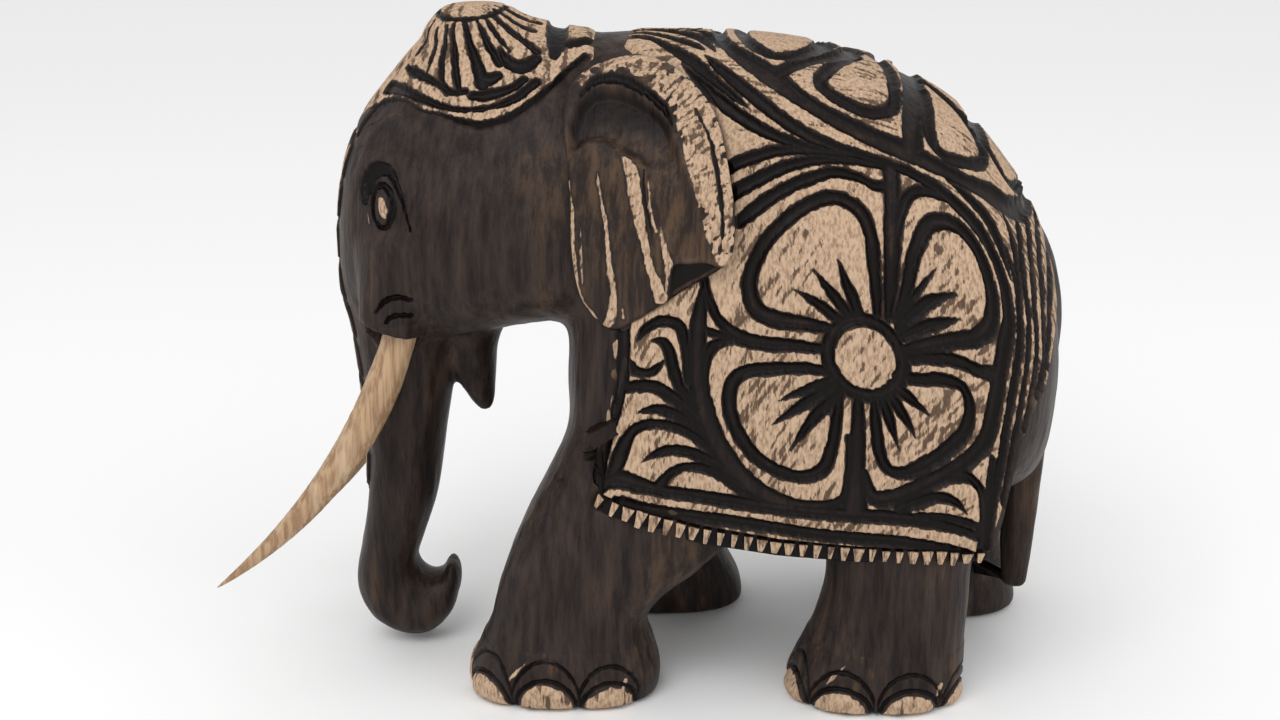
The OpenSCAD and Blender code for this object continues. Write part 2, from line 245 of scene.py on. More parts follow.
# each upper lip is a bulge from a top ball to a low one: x, y, z, radius
lipBalls = {"top": (-58.5, 17.0, 113.0, 11.5), "low": (-62.4, 20.4, 93.0, 8.2),
            "box": ((-78.0, -34, 72), (-40.0, 34, 130))}
tuskSeat = {"place": (-59.6, 21.0, 94.2), "cut": (-2.6, 4.4, 10.4, 14.0), "socketRadius": 2.6,
            "socketDepth": 13.0,
            "tilt": 16.164, "rightTurn": 7.0}
# outline of the saddle blanket in side view
blanketEdge = {
    "rearZ": [30, 44, 56, 70, 90, 110, 129, 145, 160, 175], "rearX": [86, 87, 88, 90, 93, 95, 97, 99, 103,
                                                                      104],
    "frontZ": [40, 53, 66, 84, 100, 125, 150, 175], "frontX": [-15, -14, -10, -6, -1, -1, -4, -6],
    "hemX": [-20, -14, 1, 16, 35, 55, 70, 87, 100], "hemZ": [55, 53.5, 49.5, 46, 43, 41.3, 41.0, 40.5, 40]}


def bodyLofts():   # each form on its own, the far legs a stride behind the near ones
    mirror = np.array([1, -1, 1])
    legs = []
    for rows in (frontLegRows, hindLegRows):
        far = ringsAlongZ(rows, 4, 72, stance["stride"])
        near = ringsAlongZ(rows, 4, 72) * mirror
        legs += [closedLoft(far), closedLoft(near, flip=True)]
    c, q = around(48)
    crown = [np.stack([stance["crownX"] + r * c[0], r * q[0], z + 0 * c[0]], -1) for z, r in crownRows]
    return {
        "torso": closedLoft(ringsAlongX(torsoRows, 6, 120)),
        "head": closedLoft(ringsAlongX(headRows, 6, 110)),
        "trunk": closedLoft(ringsOfTrunk(trunkRows, 6, 72)),
        "crown": closedLoft(np.array(crown)),
        "legs": legs,
        "lip": closedLoft(ringsAlongZ(lowerLipRows, 5, 48)),
        "tail": closedLoft(ringsAlongZ(tailRows, 5, 40))}


def fade(v, width=1.0):   # goes softly from 0 to 1 over a width
    t = np.clip(v / width, 0, 1)
    return t * t * (3 - 2 * t)


def between(v, low, high, width):   # 1 between two limits, fading to 0 at each
    return fade(v - low, width) * fade(high - v, width)


def blanketFront(z):
    return np.interp(z, blanketEdge["frontZ"], blanketEdge["frontX"])


def blanketHem(x):
    return np.interp(x, blanketEdge["hemX"], blanketEdge["hemZ"])


def capsuleDistance(p, a, b, ra, rb):   # distance to a rod with round ends
    a, b = np.array(a), np.array(b)
    d = b - a
    t = np.clip(((p - a) @ d) / (d @ d), 0, 1)
    return np.linalg.norm(p - a - t[..., None] * d, axis=-1) - (ra + (rb - ra) * t)


def seatFrame(side):   # where a tusk sits, across its socket and along it
    turn = math.radians(tuskSeat["tilt"] - (tuskSeat["rightTurn"] if side > 0 else 0.0))
    x, y, z = tuskSeat["place"]
    return np.array([x, side * y, z]), np.array([math.cos(turn), 0, -math.sin(turn)]), \
        np.array([math.sin(turn), 0, math.cos(turn)])


def lipsAndSockets(values, low, pitch):   # upper lips, then the recess and the socket of each tusk
    lo = np.floor((np.array(lipBalls["box"][0]) - low) / pitch).astype(int)
    hi = np.ceil((np.array(lipBalls["box"][1]) - low) / pitch).astype(int)
    g = np.stack(np.meshgrid(*[np.arange(lo[k], hi[k]) for k in range(3)], indexing="ij"), -1) * pitch + low
    cut = tuple(slice(lo[k], hi[k]) for k in range(3))
    v = values[cut]
    for side in (-1, 1):
        x, y, z, r = lipBalls["top"]
        u, w, h, q = lipBalls["low"]
        ball = capsuleDistance(g, (x, side * y, z), (u, side * w, h), r, q)
        v = blendUnion(v, ball, skinShape["upperLip"])
    for side in (-1, 1):
        seat, across, along = seatFrame(side)
        p = g - seat
        px, py, pz = p @ across, p[..., 1], p @ along
        cx, cy, r, depth = tuskSeat["cut"]
        flat = np.maximum(np.hypot(px - cx, py - side * cy) - r, np.maximum(pz, -depth - pz))
        hole = np.maximum(np.hypot(px, py) - tuskSeat["socketRadius"], pz - tuskSeat["socketDepth"])
        v = np.maximum(v, -np.minimum(flat, hole))
    values[cut] = v


def bodyField():   # all the forms joined, with the torso sunk a little where the blanket lies on it
    pitch = skinShape["pitch"]
    low, shape = latticeOf(bodyBox[0] - skinShape["margin"], bodyBox[1] + skinShape["margin"], pitch)
    corner = low * pitch
    x = (np.arange(shape[0]) * pitch + corner[0])[:, None, None]
    z = (np.arange(shape[2]) * pitch + corner[2])[None, None, :]
    lofts = bodyLofts()
    get = lambda loft: distanceOf(loft, low, shape, pitch)
    blanketRear = np.interp(z, blanketEdge["rearZ"], blanketEdge["rearX"])
    covered = fade(blanketRear - 3 - x, 4) * fade(x - 3 - blanketFront(z), 4) * fade(z - 4 - blanketHem(x), 4)
    body = get(lofts["torso"]) + (skinShape["underBlanket"] * covered).astype(np.float32)
    for leg in lofts["legs"]:
        body = blendUnion(body, get(leg), skinShape["legs"])
    body = blendUnion(body, get(lofts["tail"]), skinShape["tail"])
    head = blendUnion(get(lofts["head"]), get(lofts["trunk"]), skinShape["trunk"])
    head = blendUnion(head, get(lofts["crown"]), skinShape["crown"])
    head = blendUnion(head, get(lofts["lip"]), skinShape["lowerLip"])
    body = blurred(blendUnion(body, head, skinShape["neck"]), skinShape["blur"])
    lipsAndSockets(body, corner, pitch)
    return Field(body, corner, pitch)


grainCells = 64


# smooth random values from -1 to 1, where cell gives the size of a patch along each axis
def grain(points, cell, seed):
    table = np.random.RandomState(seed).uniform(-1, 1, (grainCells,) * 3).astype(np.float32)
    p = np.asarray(points) / np.array(cell)
    i = np.floor(p).astype(np.int64)
    f = p - i
    f = f * f * (3 - 2 * f)
    out = 0
    for dx in (0, 1):
        for dy in (0, 1):
            for dz in (0, 1):
                w = 1.0
                for axis, d in enumerate((dx, dy, dz)):
                    w = w * (f[..., axis] if d else 1 - f[..., axis])
                a, b, c = ((i[..., axis] + d) % grainCells for axis, d in enumerate((dx, dy, dz)))
                out = out + w * table[a, b, c]
    return out


def makePiece(name, points, faces, smooth, values):   # points in millimetres, faces a list of index arrays
    mesh = bpy.data.meshes.new(name)
    sizes = np.concatenate([np.full(len(f), f.shape[1]) for f in faces])
    mesh.vertices.add(len(points))
    mesh.vertices.foreach_set("co", (np.asarray(points) / 1000.0).astype(np.float32).ravel())
    mesh.loops.add(int(sizes.sum()))
    mesh.loops.foreach_set("vertex_index", np.concatenate([f.ravel() for f in faces]).astype(np.int32))
    mesh.polygons.add(len(sizes))
    mesh.polygons.foreach_set("loop_start", np.concatenate([[0], np.cumsum(sizes)[:-1]]).astype(np.int32))
    shades = np.concatenate([np.full(len(f), s) for f, s in zip(faces, smooth)])
    mesh.polygons.foreach_set("use_smooth", shades)
    for key, v in values.items():
        a = mesh.attributes.new(key, "FLOAT", "POINT")
        a.data.foreach_set("value", np.broadcast_to(v, len(points)).astype(np.float32).copy())
    mesh.update(calc_edges=True)
    mesh.validate()
    return newObject(name, mesh)


# lower edge of the head cap, in side view
capEdge = {
    "x": [-73, -68, -62, -57, -53, -48, -43, -38, -33, -28, -23, -18, -13],
    "z": [140, 147, 152, 151, 148.6, 147, 145, 144, 145.4, 148, 151.4, 155.6, 160]}


sunk = {"face": 1.9, "cap": 1.3, "foot": 1.4, "shoulder": 1.7}


def sunkUnderCarvings(p):   # how far the skin goes down, so the cuts of the pieces over it stay open
    x, y, z = p[:, 0], np.abs(p[:, 1]), p[:, 2]
    face = between(x, -69.5, -54.2, 1.2) * between(z, 97.0, 139.5, 1.5) * fade(y - 9, 2)
    cap = between(x, -71, -11.5, 2) * fade(z - np.interp(x, capEdge["x"], capEdge["z"]) - 1.5, 2)
    foot = fade(14.5 - z, 2) * fade(x + 50, 2)
    flap = fade(z - blanketHem(x) - 1.5, 2) * fade(x - blanketFront(z) - 1, 2)
    shoulder = flap * fade(10 - x, 8) * fade(y - 26, 4) * fade(112 - z, 6)
    return sunk["face"] * face + sunk["cap"] * cap + sunk["foot"] * foot + sunk["shoulder"] * shoulder


def skinPiece(name, low, high, pitch):   # the joined form within a box, as quads with shallow tool marks
    start, shape = latticeOf(low, high, pitch)
    axes = [np.arange(shape[k]) * pitch + start[k] * pitch for k in range(3)]
    v = np.empty(tuple(shape), np.float32)
    for i, x in enumerate(axes[0]):
        g = np.stack(np.meshgrid([x], axes[1], axes[2], indexing="ij"), -1)
        v[i] = form.at(g)[0]
    wall = skinShape["boxWall"]
    for k in range(3):
        n = [None, None, None]
        n[k] = slice(None)
        a = axes[k][tuple(n)]
        v = np.maximum(v, np.maximum(low[k] + wall - a, a - high[k] + wall)).astype(np.float32)
    grid = vdb.FloatGrid(3 * pitch)
    grid.transform = vdb.createLinearTransform(voxelSize=pitch)
    grid.copyFromArray(np.clip(v, -3 * pitch, 3 * pitch), ijk=tuple(int(s) for s in start))
    points, quads = grid.convertToQuads()
    points = points.astype(float)
    marks = grain(points, (3.4, 3.4, 9.0), 5) + 0.5 * grain(points, (1.6, 1.6, 5.0), 6)
    rise = skinShape["toolMarks"] * marks - skinShape["planed"] - sunkUnderCarvings(points)
    points += form.normal(points) * rise[:, None]
    points[:, 2] = np.maximum(points[:, 2], skinShape["ground"])
    print(name, len(quads), "quads")
    return makePiece(name, points, [quads], [True], {"pale": -2.0, "cutDarkAndPaintedLight": 0.0, "rub": 0.5})


form = bodyField()
print("forms joined")
# lowest corner, highest corner and pitch of each piece of the skin
skinBoxes = {
    "head_wood": ((-80, -37, -4), (-12, 37, 176), 0.75),
    "barrel_wood": ((-20, -52, 42), (112, 52, 172), 1.0),
    "forelegs_wood": ((-46, -52, -4), (34, 52, 62), 0.8),
    "hindlegs_wood": ((28, -52, -4), (114, 52, 62), 0.8)}
skinPieces = [skinPiece(name, *box) for name, box in skinBoxes.items()]


def cutDistance(u, v, strokes):   # millimetres to the edge of the nearest stroke, below zero inside it
    out = np.full(u.shape, 4.0)
    for rows in strokes:
        s = smoothRows(rows, 6)
        reach = 3.0 + s[:, 2].max() / 2
        lo, hi = s[:, :2].min(0) - reach, s[:, :2].max(0) + reach
        near = np.nonzero((u > lo[0]) & (u < hi[0]) & (v > lo[1]) & (v < hi[1]))
        pu, pv, best = u[near], v[near], out[near]
        for a, b in zip(s[:-1], s[1:]):
            d = b - a
            t = np.clip(((pu - a[0]) * d[0] + (pv - a[1]) * d[1]) / max(d[0] ** 2 + d[1] ** 2, 1e-9), 0, 1)
            r = np.hypot(pu - a[0] - t * d[0], pv - a[1] - t * d[1]) - np.maximum(a[2] + t * d[2], 0) / 2
            best = np.minimum(best, r)
        out[near] = best
    return out


def ringStroke(cx, cy, rx, ry, width, turn=0.0, start=0, end=360, count=16):   # a stroke round an oval
    rows = []
    c, s = math.cos(math.radians(turn)), math.sin(math.radians(turn))
    for a in np.radians(np.linspace(start, end, count)):
        p, q = rx * math.cos(a), ry * math.sin(a)
        rows.append([cx + p * c - q * s, cy + p * s + q * c, width])
    return rows


def raggedCuts(u, v, strokes, seed):   # distance to the strokes, torn a little as a gouge leaves it
    p = np.stack([u, v, 0 * u], -1)
    torn = 0.16 * grain(p, (0.7, 1.8, 1), seed) + 0.09 * grain(p, (0.45, 0.6, 1), seed + 1)
    return cutDistance(u, v, strokes) + torn


def gouged(d, depth, wall=0.5):   # a gouge's profile: steep walls, then a round floor
    return -depth * (1 - np.exp(np.minimum(d, 0) / wall)) - 0.12 * np.exp(-np.maximum(d, 0) / 0.25)


# places on a form by length x and by girth from the spine
def sectionTable(rows, grow, low, square, xs, gs):
    s = smoothRows(rows, 24)
    a = np.radians(90 - np.linspace(0, 179.9, 361))
    c, q = np.cos(a), np.sin(a)
    out = np.zeros((len(xs), len(gs), 3))
    for k, x in enumerate(xs):
        r = [np.interp(x, s[:, 0], s[:, j]) for j in range(7)]
        p = np.where(q > 0, r[5], square or r[6])
        y = bulge(c, p) * (r[3] + grow)
        z = r[4] + bulge(q, p) * np.where(q > 0, r[1] + grow - r[4], r[4] - (low or r[2]))
        g = np.concatenate([[0], np.cumsum(np.hypot(np.diff(y), np.diff(z)))])
        out[k] = np.stack([0 * gs + x, -np.interp(gs, g, y), np.interp(gs, g, z)], -1)
    return out


def tableAt(table, xs, gs, x, g):   # a place between those of a table
    i = np.clip((x - xs[0]) / (xs[1] - xs[0]), 0, len(xs) - 1.001)
    j = np.clip((g - gs[0]) / (gs[1] - gs[0]), 0, len(gs) - 1.001)
    a, b = i.astype(int), j.astype(int)
    f, h = (i - a)[..., None], (j - b)[..., None]
    return (table[a, b] * (1 - f) * (1 - h) + table[a + 1, b] * f * (1 - h)
            + table[a, b + 1] * (1 - f) * h + table[a + 1, b + 1] * f * h)


def gridNormals(p):
    n = np.cross(np.gradient(p, axis=0), np.gradient(p, axis=1))
    return n / np.maximum(np.linalg.norm(n, axis=-1, keepdims=True), 1e-12)


def facing(n, at, way):   # turns all the normals over if the one at a place looks against a direction
    return n if n[at] @ np.array(way, float) > 0 else -n


# outer face from a grid, a wall inwards round its border and a closing fan
def carvedSheet(name, base, normals, relief, values, middle, skirt=3.0, loop=False, mirror=False):
    m, n, _ = base.shape
    outer = (base + normals * relief[..., None]).reshape(-1, 3)
    inner = (base - normals * skirt).reshape(-1, 3)
    i, k = np.meshgrid(np.arange(m - 1), np.arange(n if loop else n - 1), indexing="ij")
    a, b = (i * n + k).ravel(), (i * n + (k + 1) % n).ravel()
    quads = np.stack([a, b, b + n, a + n], 1)
    if loop:
        border = np.arange(n) + (m - 1) * n
        start = np.arange(n)
    else:
        border = np.concatenate([np.arange(n), np.arange(2 * n - 1, m * n, n),
                                 np.arange(m * n - 2, (m - 1) * n - 1, -1), np.arange((m - 2) * n, 0, -n)])
    e, f = border, np.roll(border, -1)
    base2 = len(outer)
    pts = np.vstack([outer, inner[border], np.array([middle])])
    ei, fi = base2 + np.arange(len(border)), base2 + np.roll(np.arange(len(border)), -1)
    wall = np.stack([f, e, ei, fi], 1)
    fan = np.stack([fi, ei, 0 * ei + len(pts) - 1], 1)
    faces, smooth = [quads, wall, fan], [True, False, False]
    if loop:
        pts = np.vstack([pts, outer[start].mean(0)])
        faces.append(np.stack([np.roll(start, -1), start, 0 * start + len(pts) - 1], 1))
        smooth.append(True)
        faces[1], faces[2] = faces[1][:, ::-1], faces[2][:, ::-1]
    # turn all the faces if the outer ones look inwards
    q = quads[len(quads) // 2]
    look = np.cross(outer[q[1]] - outer[q[0]], outer[q[3]] - outer[q[0]]) @ normals.reshape(-1, 3)[q[0]]
    if (look < 0) != mirror:
        faces = [x[:, ::-1] for x in faces]
    if mirror:
        pts = pts * np.array([1, -1, 1])
    full = {}
    for key, v in values.items():
        flat = np.asarray(v, float).ravel()
        extra = np.full(len(pts) - len(flat), -2.0 if key == "pale" else 0.6)
        full[key] = np.concatenate([flat, extra])
    return makePiece(name, pts, faces, smooth, full)


# left, and its mirror image
def sidePair(name, base, normals, relief, values, middle, skirt=2.0, loop=False):
    turned = [carvedSheet(name + "_left", base, normals, relief, values, middle, skirt, loop),
              carvedSheet(name + "_right", base, normals, relief, values, middle, skirt, loop, mirror=True)]
    print(name, "carved")
    return turned


def unitGrid(m, n):
    return np.meshgrid(np.linspace(0, 1, m), np.linspace(0, 1, n), indexing="ij")


def settled(p, way, steps=24):   # slides places along a direction onto the joined form
    for step in range(steps):
        p = p + way * np.clip(form.at(p), -2.5, 2.5)[..., None] * 0.85
    return p


def areaDistance(u, v, corners):   # millimetres outside a closed outline, below zero within it
    c = smoothRows(corners + corners[:1], 3)
    best, inside = np.full(u.shape, 1e9), np.zeros(u.shape, bool)
    for a, b in zip(c[:-1], c[1:]):
        d = b - a
        t = np.clip(((u - a[0]) * d[0] + (v - a[1]) * d[1]) / max(d @ d, 1e-9), 0, 1)
        best = np.minimum(best, np.hypot(u - a[0] - t * d[0], v - a[1] - t * d[1]))
        span = d[1] if abs(d[1]) > 1e-9 else 1e-9
        inside ^= ((a[1] > v) != (b[1] > v)) & (u < a[0] + (v - a[1]) * d[0] / span)
    return np.where(inside, -best, best)


# An outline is a closed list of x and height. A stroke is a list of x, place and width, where the place is
# the girth down from the spine on the blanket and the cap, and the height on the ears and the face.
earOutline = [[-1, 163.6], [7, 162], [13, 158.4], [18.5, 151.4], [21.8, 137], [22.5, 126.5], [20.5, 119.5],
              [10.5, 112],
              [-0.5, 104], [-6, 101.4], [-11.3, 105], [-14.6, 112], [-16.2, 126], [-17, 142], [-18, 151.4],
              [-16, 157.4],
              [-10, 161.4]]
petals = {
    "upper left": {
        "groove": [[56.8, 80, 1.6], [55.8, 71, 2.4], [54.8, 62, 2.6], [52, 56.5, 2.8], [46, 54.6, 2.6],
                   [39, 58, 2.6],
                   [32, 64.5, 2.6], [28, 71, 2.6], [26.4, 77, 2.8], [28, 83, 3.2], [33, 85.3, 3.4],
                   [40, 85.6, 2.8],
                   [47, 86, 1.8]],
        "rays": [[[52, 80.5, 2.2], [49.5, 75, 2], [47, 69, 0.3]],
                 [[50, 82, 2.2], [46, 77.5, 2], [41.5, 72.5, 0.3]],
                 [[48.5, 84, 2.2], [43, 80.5, 2], [37, 77.6, 0.3]]]},
    "upper right": {
        "groove": [[61.5, 80, 1.8], [63.5, 71, 2.4], [65.5, 61, 2.6], [69, 53.5, 2.8], [75, 50.3, 2.8],
                   [80.5, 52.5, 2.8],
                   [84, 59, 2.8], [84, 66, 2.8], [80.5, 73, 2.6], [73, 79.5, 2.8], [65, 85.5, 2.6],
                   [62, 87, 1.6]],
        "rays": [[[62, 81.5, 2.2], [68, 73, 2.4], [75, 66.5, 0.3]],
                 [[63, 83.2, 2.2], [70, 77, 2.2], [76.5, 71.5, 0.3]],
                 [[61, 80, 1.6], [66, 71, 1.2], [70.5, 63, 0.3]]]},
    "lower right": {
        "groove": [[61.8, 93.4, 1.8], [67, 92, 2.2], [73, 88.8, 2.2], [77.8, 87.6, 2.2], [79.8, 91, 2.2],
                   [79, 97.5, 2.2],
                   [75.5, 104.5, 2.4], [70, 112, 2.6], [65, 116.8, 2.4], [61, 117.6, 2.2], [58.6, 114.5, 2.4],
                   [57.4, 108, 2.2], [56.6, 101, 1.6]],
        "rays": [[[61, 96, 2.4], [65, 97.6, 2.2], [70, 99.4, 0.3]],
                 [[59.5, 98, 2.4], [63.5, 102, 2.2], [67, 106.8, 0.3]],
                 [[58, 99, 2.2], [60.5, 105, 2], [63, 111.5, 0.3]]]},
    "lower left": {
        "groove": [[47, 96.6, 1.8], [41, 96.4, 2.2], [33, 97.4, 2.4], [26, 98.6, 2.6], [22.6, 102, 2.8],
                   [22.2, 108, 2.6],
                   [24.5, 114.5, 2.6], [29, 120.3, 2.6], [35, 123.6, 2.6], [41, 124, 2.6], [45.4, 120.5, 2.6],
                   [47.4, 112, 2.2], [48.2, 102.5, 1.8]],
        "rays": [[[47, 98.5, 2.2], [41, 101.5, 2], [34, 105.3, 0.3]],
                 [[47.5, 100, 2.2], [40, 105.5, 2.2], [32.5, 111.5, 0.3]],
                 [[48.5, 101.5, 2], [42.5, 108.5, 2.2], [37, 117.5, 0.4]]]}}
flankCuts = [
    # stems between the petals
    [[59.6, 44, 3.2], [59.8, 52, 3.2], [59.8, 62, 3.2], [59.6, 72, 2.6], [59.2, 80, 1.6]],
    [[52.9, 101, 1.8], [53, 110, 2.8], [53, 120, 3.4], [53, 131, 5]],
    [[45.5, 91, 1.6], [38, 91.2, 2.4], [30, 91.3, 2.8], [24, 90, 2.8], [19.5, 86, 2], [16.5, 80, 1.6],
     [15.8, 76, 1.4]],
    [[63.5, 88.6, 1.6], [70, 85.2, 2.2], [76, 82.2, 2.4], [82, 80.2, 2.4], [86, 77, 2.6]],
    # outer edges of the petals' rims
    [[59.5, 48, 2], [56, 49.6, 2], [52, 48.6, 1.8], [46, 48.6, 2.2], [40, 51.2, 2.3], [34, 54.6, 2.4],
     [28, 59, 2.6],
     [24, 62.5, 2.4]],
    [[60.5, 62, 1.6], [61.8, 54, 2], [64.5, 48.4, 2], [69.5, 45.6, 2], [76, 45, 2.2], [82, 47.6, 2.6],
     [86.6, 52.5, 2.8],
     [88.6, 60, 2.6], [87.6, 68, 2.6], [86.8, 77, 2.8], [85.8, 86, 2.8], [84.6, 94, 2.6], [82.2, 100.5, 2.4],
     [77.4, 108.6, 2.6], [70.4, 117, 3], [63.5, 123.6, 3.2], [57.5, 126, 3.2], [54.6, 120, 1.8]],
    [[16.6, 108, 2], [16, 101, 2], [16.3, 96, 2.2], [18.2, 92.4, 2.2], [22, 90.8, 2]],
    [[51, 112, 1.4], [51.2, 122, 1.6], [50, 128.6, 2.2], [45, 131.4, 2.6], [38, 132, 3], [31, 129.6, 3.2],
     [26, 125.5, 3], [21.5, 119.6, 3], [18.2, 112.8, 3], [16.6, 106, 2.4]],
    # spine of the scroll, with its leaves
    [[15.6, 79, 1.6], [14.6, 86, 3], [14.2, 94, 3.4], [14.6, 103, 3.6], [16.8, 112, 3.8], [20, 119.4, 3.8],
     [25, 126, 3.8], [31, 130.8, 3.6], [38, 132.4, 3.2]],
    [[14.5, 87.8, 1], [18, 89, 1.5], [22, 90.6, 1.6]],
    [[0.4, 88.8, 1], [2, 86.8, 1.8], [5.2, 85.4, 2.2], [8.6, 85.8, 2.2], [10.8, 88.4, 2], [11.8, 94, 1.8],
     [12.4, 101, 2]],
    [[3.6, 89.8, 0.8], [6.2, 90.4, 1.6], [7.8, 93.4, 2], [8.8, 98, 2.3], [10.6, 102.8, 2], [13.4, 107, 2]],
    [[-1.8, 93.5, 1], [-0.4, 96.6, 1.7], [2.4, 97.8, 1.6], [4.8, 96.9, 1.4], [6.4, 95, 0.4]],
    [[-3.2, 100, 2], [1, 100.8, 2.3], [5, 102, 2.4], [9, 105, 2.4], [12.6, 108.6, 2.4], [16.5, 113, 2.4]],
    [[0, 107.4, 0.3], [4, 107.2, 1.8], [8, 108.4, 2.2], [12, 110.8, 2.2], [16, 114.2, 2.2],
     [19.5, 118.6, 2.2]],
    [[-5.6, 118.5, 4.4], [-3, 113.6, 3.2], [0, 111.4, 2.4], [5, 111, 1.9], [10, 112.6, 1.8],
     [14.4, 115.4, 1.9],
     [19, 119.6, 2]],
    [[1.2, 120.4, 0.3], [5, 118.6, 1.8], [9, 118.1, 2.1], [14, 119.6, 2.2], [19, 122.4, 2.4],
     [24, 126.4, 2.6]],
    [[5, 128, 2.8], [7.6, 124.6, 2], [11, 122.9, 1.7], [15, 123, 1.8], [20, 125, 2.2], [26, 129, 2.8]],
    # front edge, hem borders
    [[-3.4, 70, 2], [-3.6, 84, 2.8], [-3.8, 97, 2.8], [-5.8, 105, 2.8], [-8.4, 112, 2.6], [-9.8, 120, 2.2]],
    [[-12.4, 110, 1.2], [-10.4, 116.5, 2.2], [-5.4, 121.5, 2.8], [0, 126, 3], [6, 128.6, 2.6],
     [13, 130.4, 2.6], [22, 132, 2.8], [32, 133.2, 2.8],
     [42, 133.4, 2.8], [52, 132.2, 2.8], [62, 129.9, 2.8], [72, 126.6, 2.4], [80, 123.4, 1.9],
     [85, 121, 1.8]],
    [[-13.4, 121.6, 1.6], [-9.6, 124.6, 2.2], [-5.4, 128, 2.4], [0, 132.2, 2.6], [10, 135.4, 2.7],
     [20, 137.2, 2.7], [32, 138.6, 2.7],
     [44, 139.2, 2.7], [55, 138, 2.7], [66, 135.4, 2.6], [76, 131.6, 2.4], [85, 127.4, 2.2]],
    [[86.6, 98, 1.4], [86.2, 110, 2.2], [85.8, 120, 2.6], [85.8, 130, 3]],
    # small leaves by the rear hem
    [[64, 127, 2.4], [70, 121.6, 2.2], [74, 118.4, 2], [78, 117.2, 1.8], [80.4, 118, 0.6]],
    [[68, 127.4, 2], [75, 123.4, 1.7], [80, 120.9, 1.6], [84.5, 118.6, 1.6]],
    [[72, 115, 1.6], [77, 110.8, 2.4], [81, 108.4, 2.2], [84.6, 109.6, 2.6], [85.6, 116, 2.4],
     [84.4, 121, 2]],
    # arcs above the flower
    [[20, 50.4, 2.6], [26, 47.6, 2.4], [33, 45, 2.2], [41, 43.8, 2.2], [50, 43.4, 2]],
    [[21, 56.6, 3], [27, 53.2, 2.6], [34, 49.2, 2.3], [42, 46.2, 2.1], [50, 44.8, 1.8], [58, 44.2, 1.6]],
    # stripes down the rear
    [[88.2, 44, 1.2], [91, 52, 1.9], [91.6, 62, 2], [90.6, 74, 1.9], [89.4, 86, 2], [88.4, 98, 2.2],
     [87.2, 110, 2.2],
     [86.4, 120, 2]],
    [[91.6, 31, 1.4], [92.2, 42, 1.6], [94, 54, 1.4], [93.8, 66, 1.3], [92.6, 78, 1.4], [91, 92, 1.3],
     [89.6, 106, 1.4]],
    [[94.8, 24, 1.2], [94.6, 34, 1.5], [95.4, 46, 1.6], [96.4, 56, 1.4], [95.6, 68, 1.2], [94, 80, 1]],
    [[98.4, 12, 1.4], [97.4, 26, 1.6], [97.8, 40, 1.6], [98.6, 54, 1.4], [97, 66, 1.2]],
    [[101.4, 12, 1.2], [100.6, 26, 1.5], [100, 40, 1.5], [99.6, 52, 1.2]]]
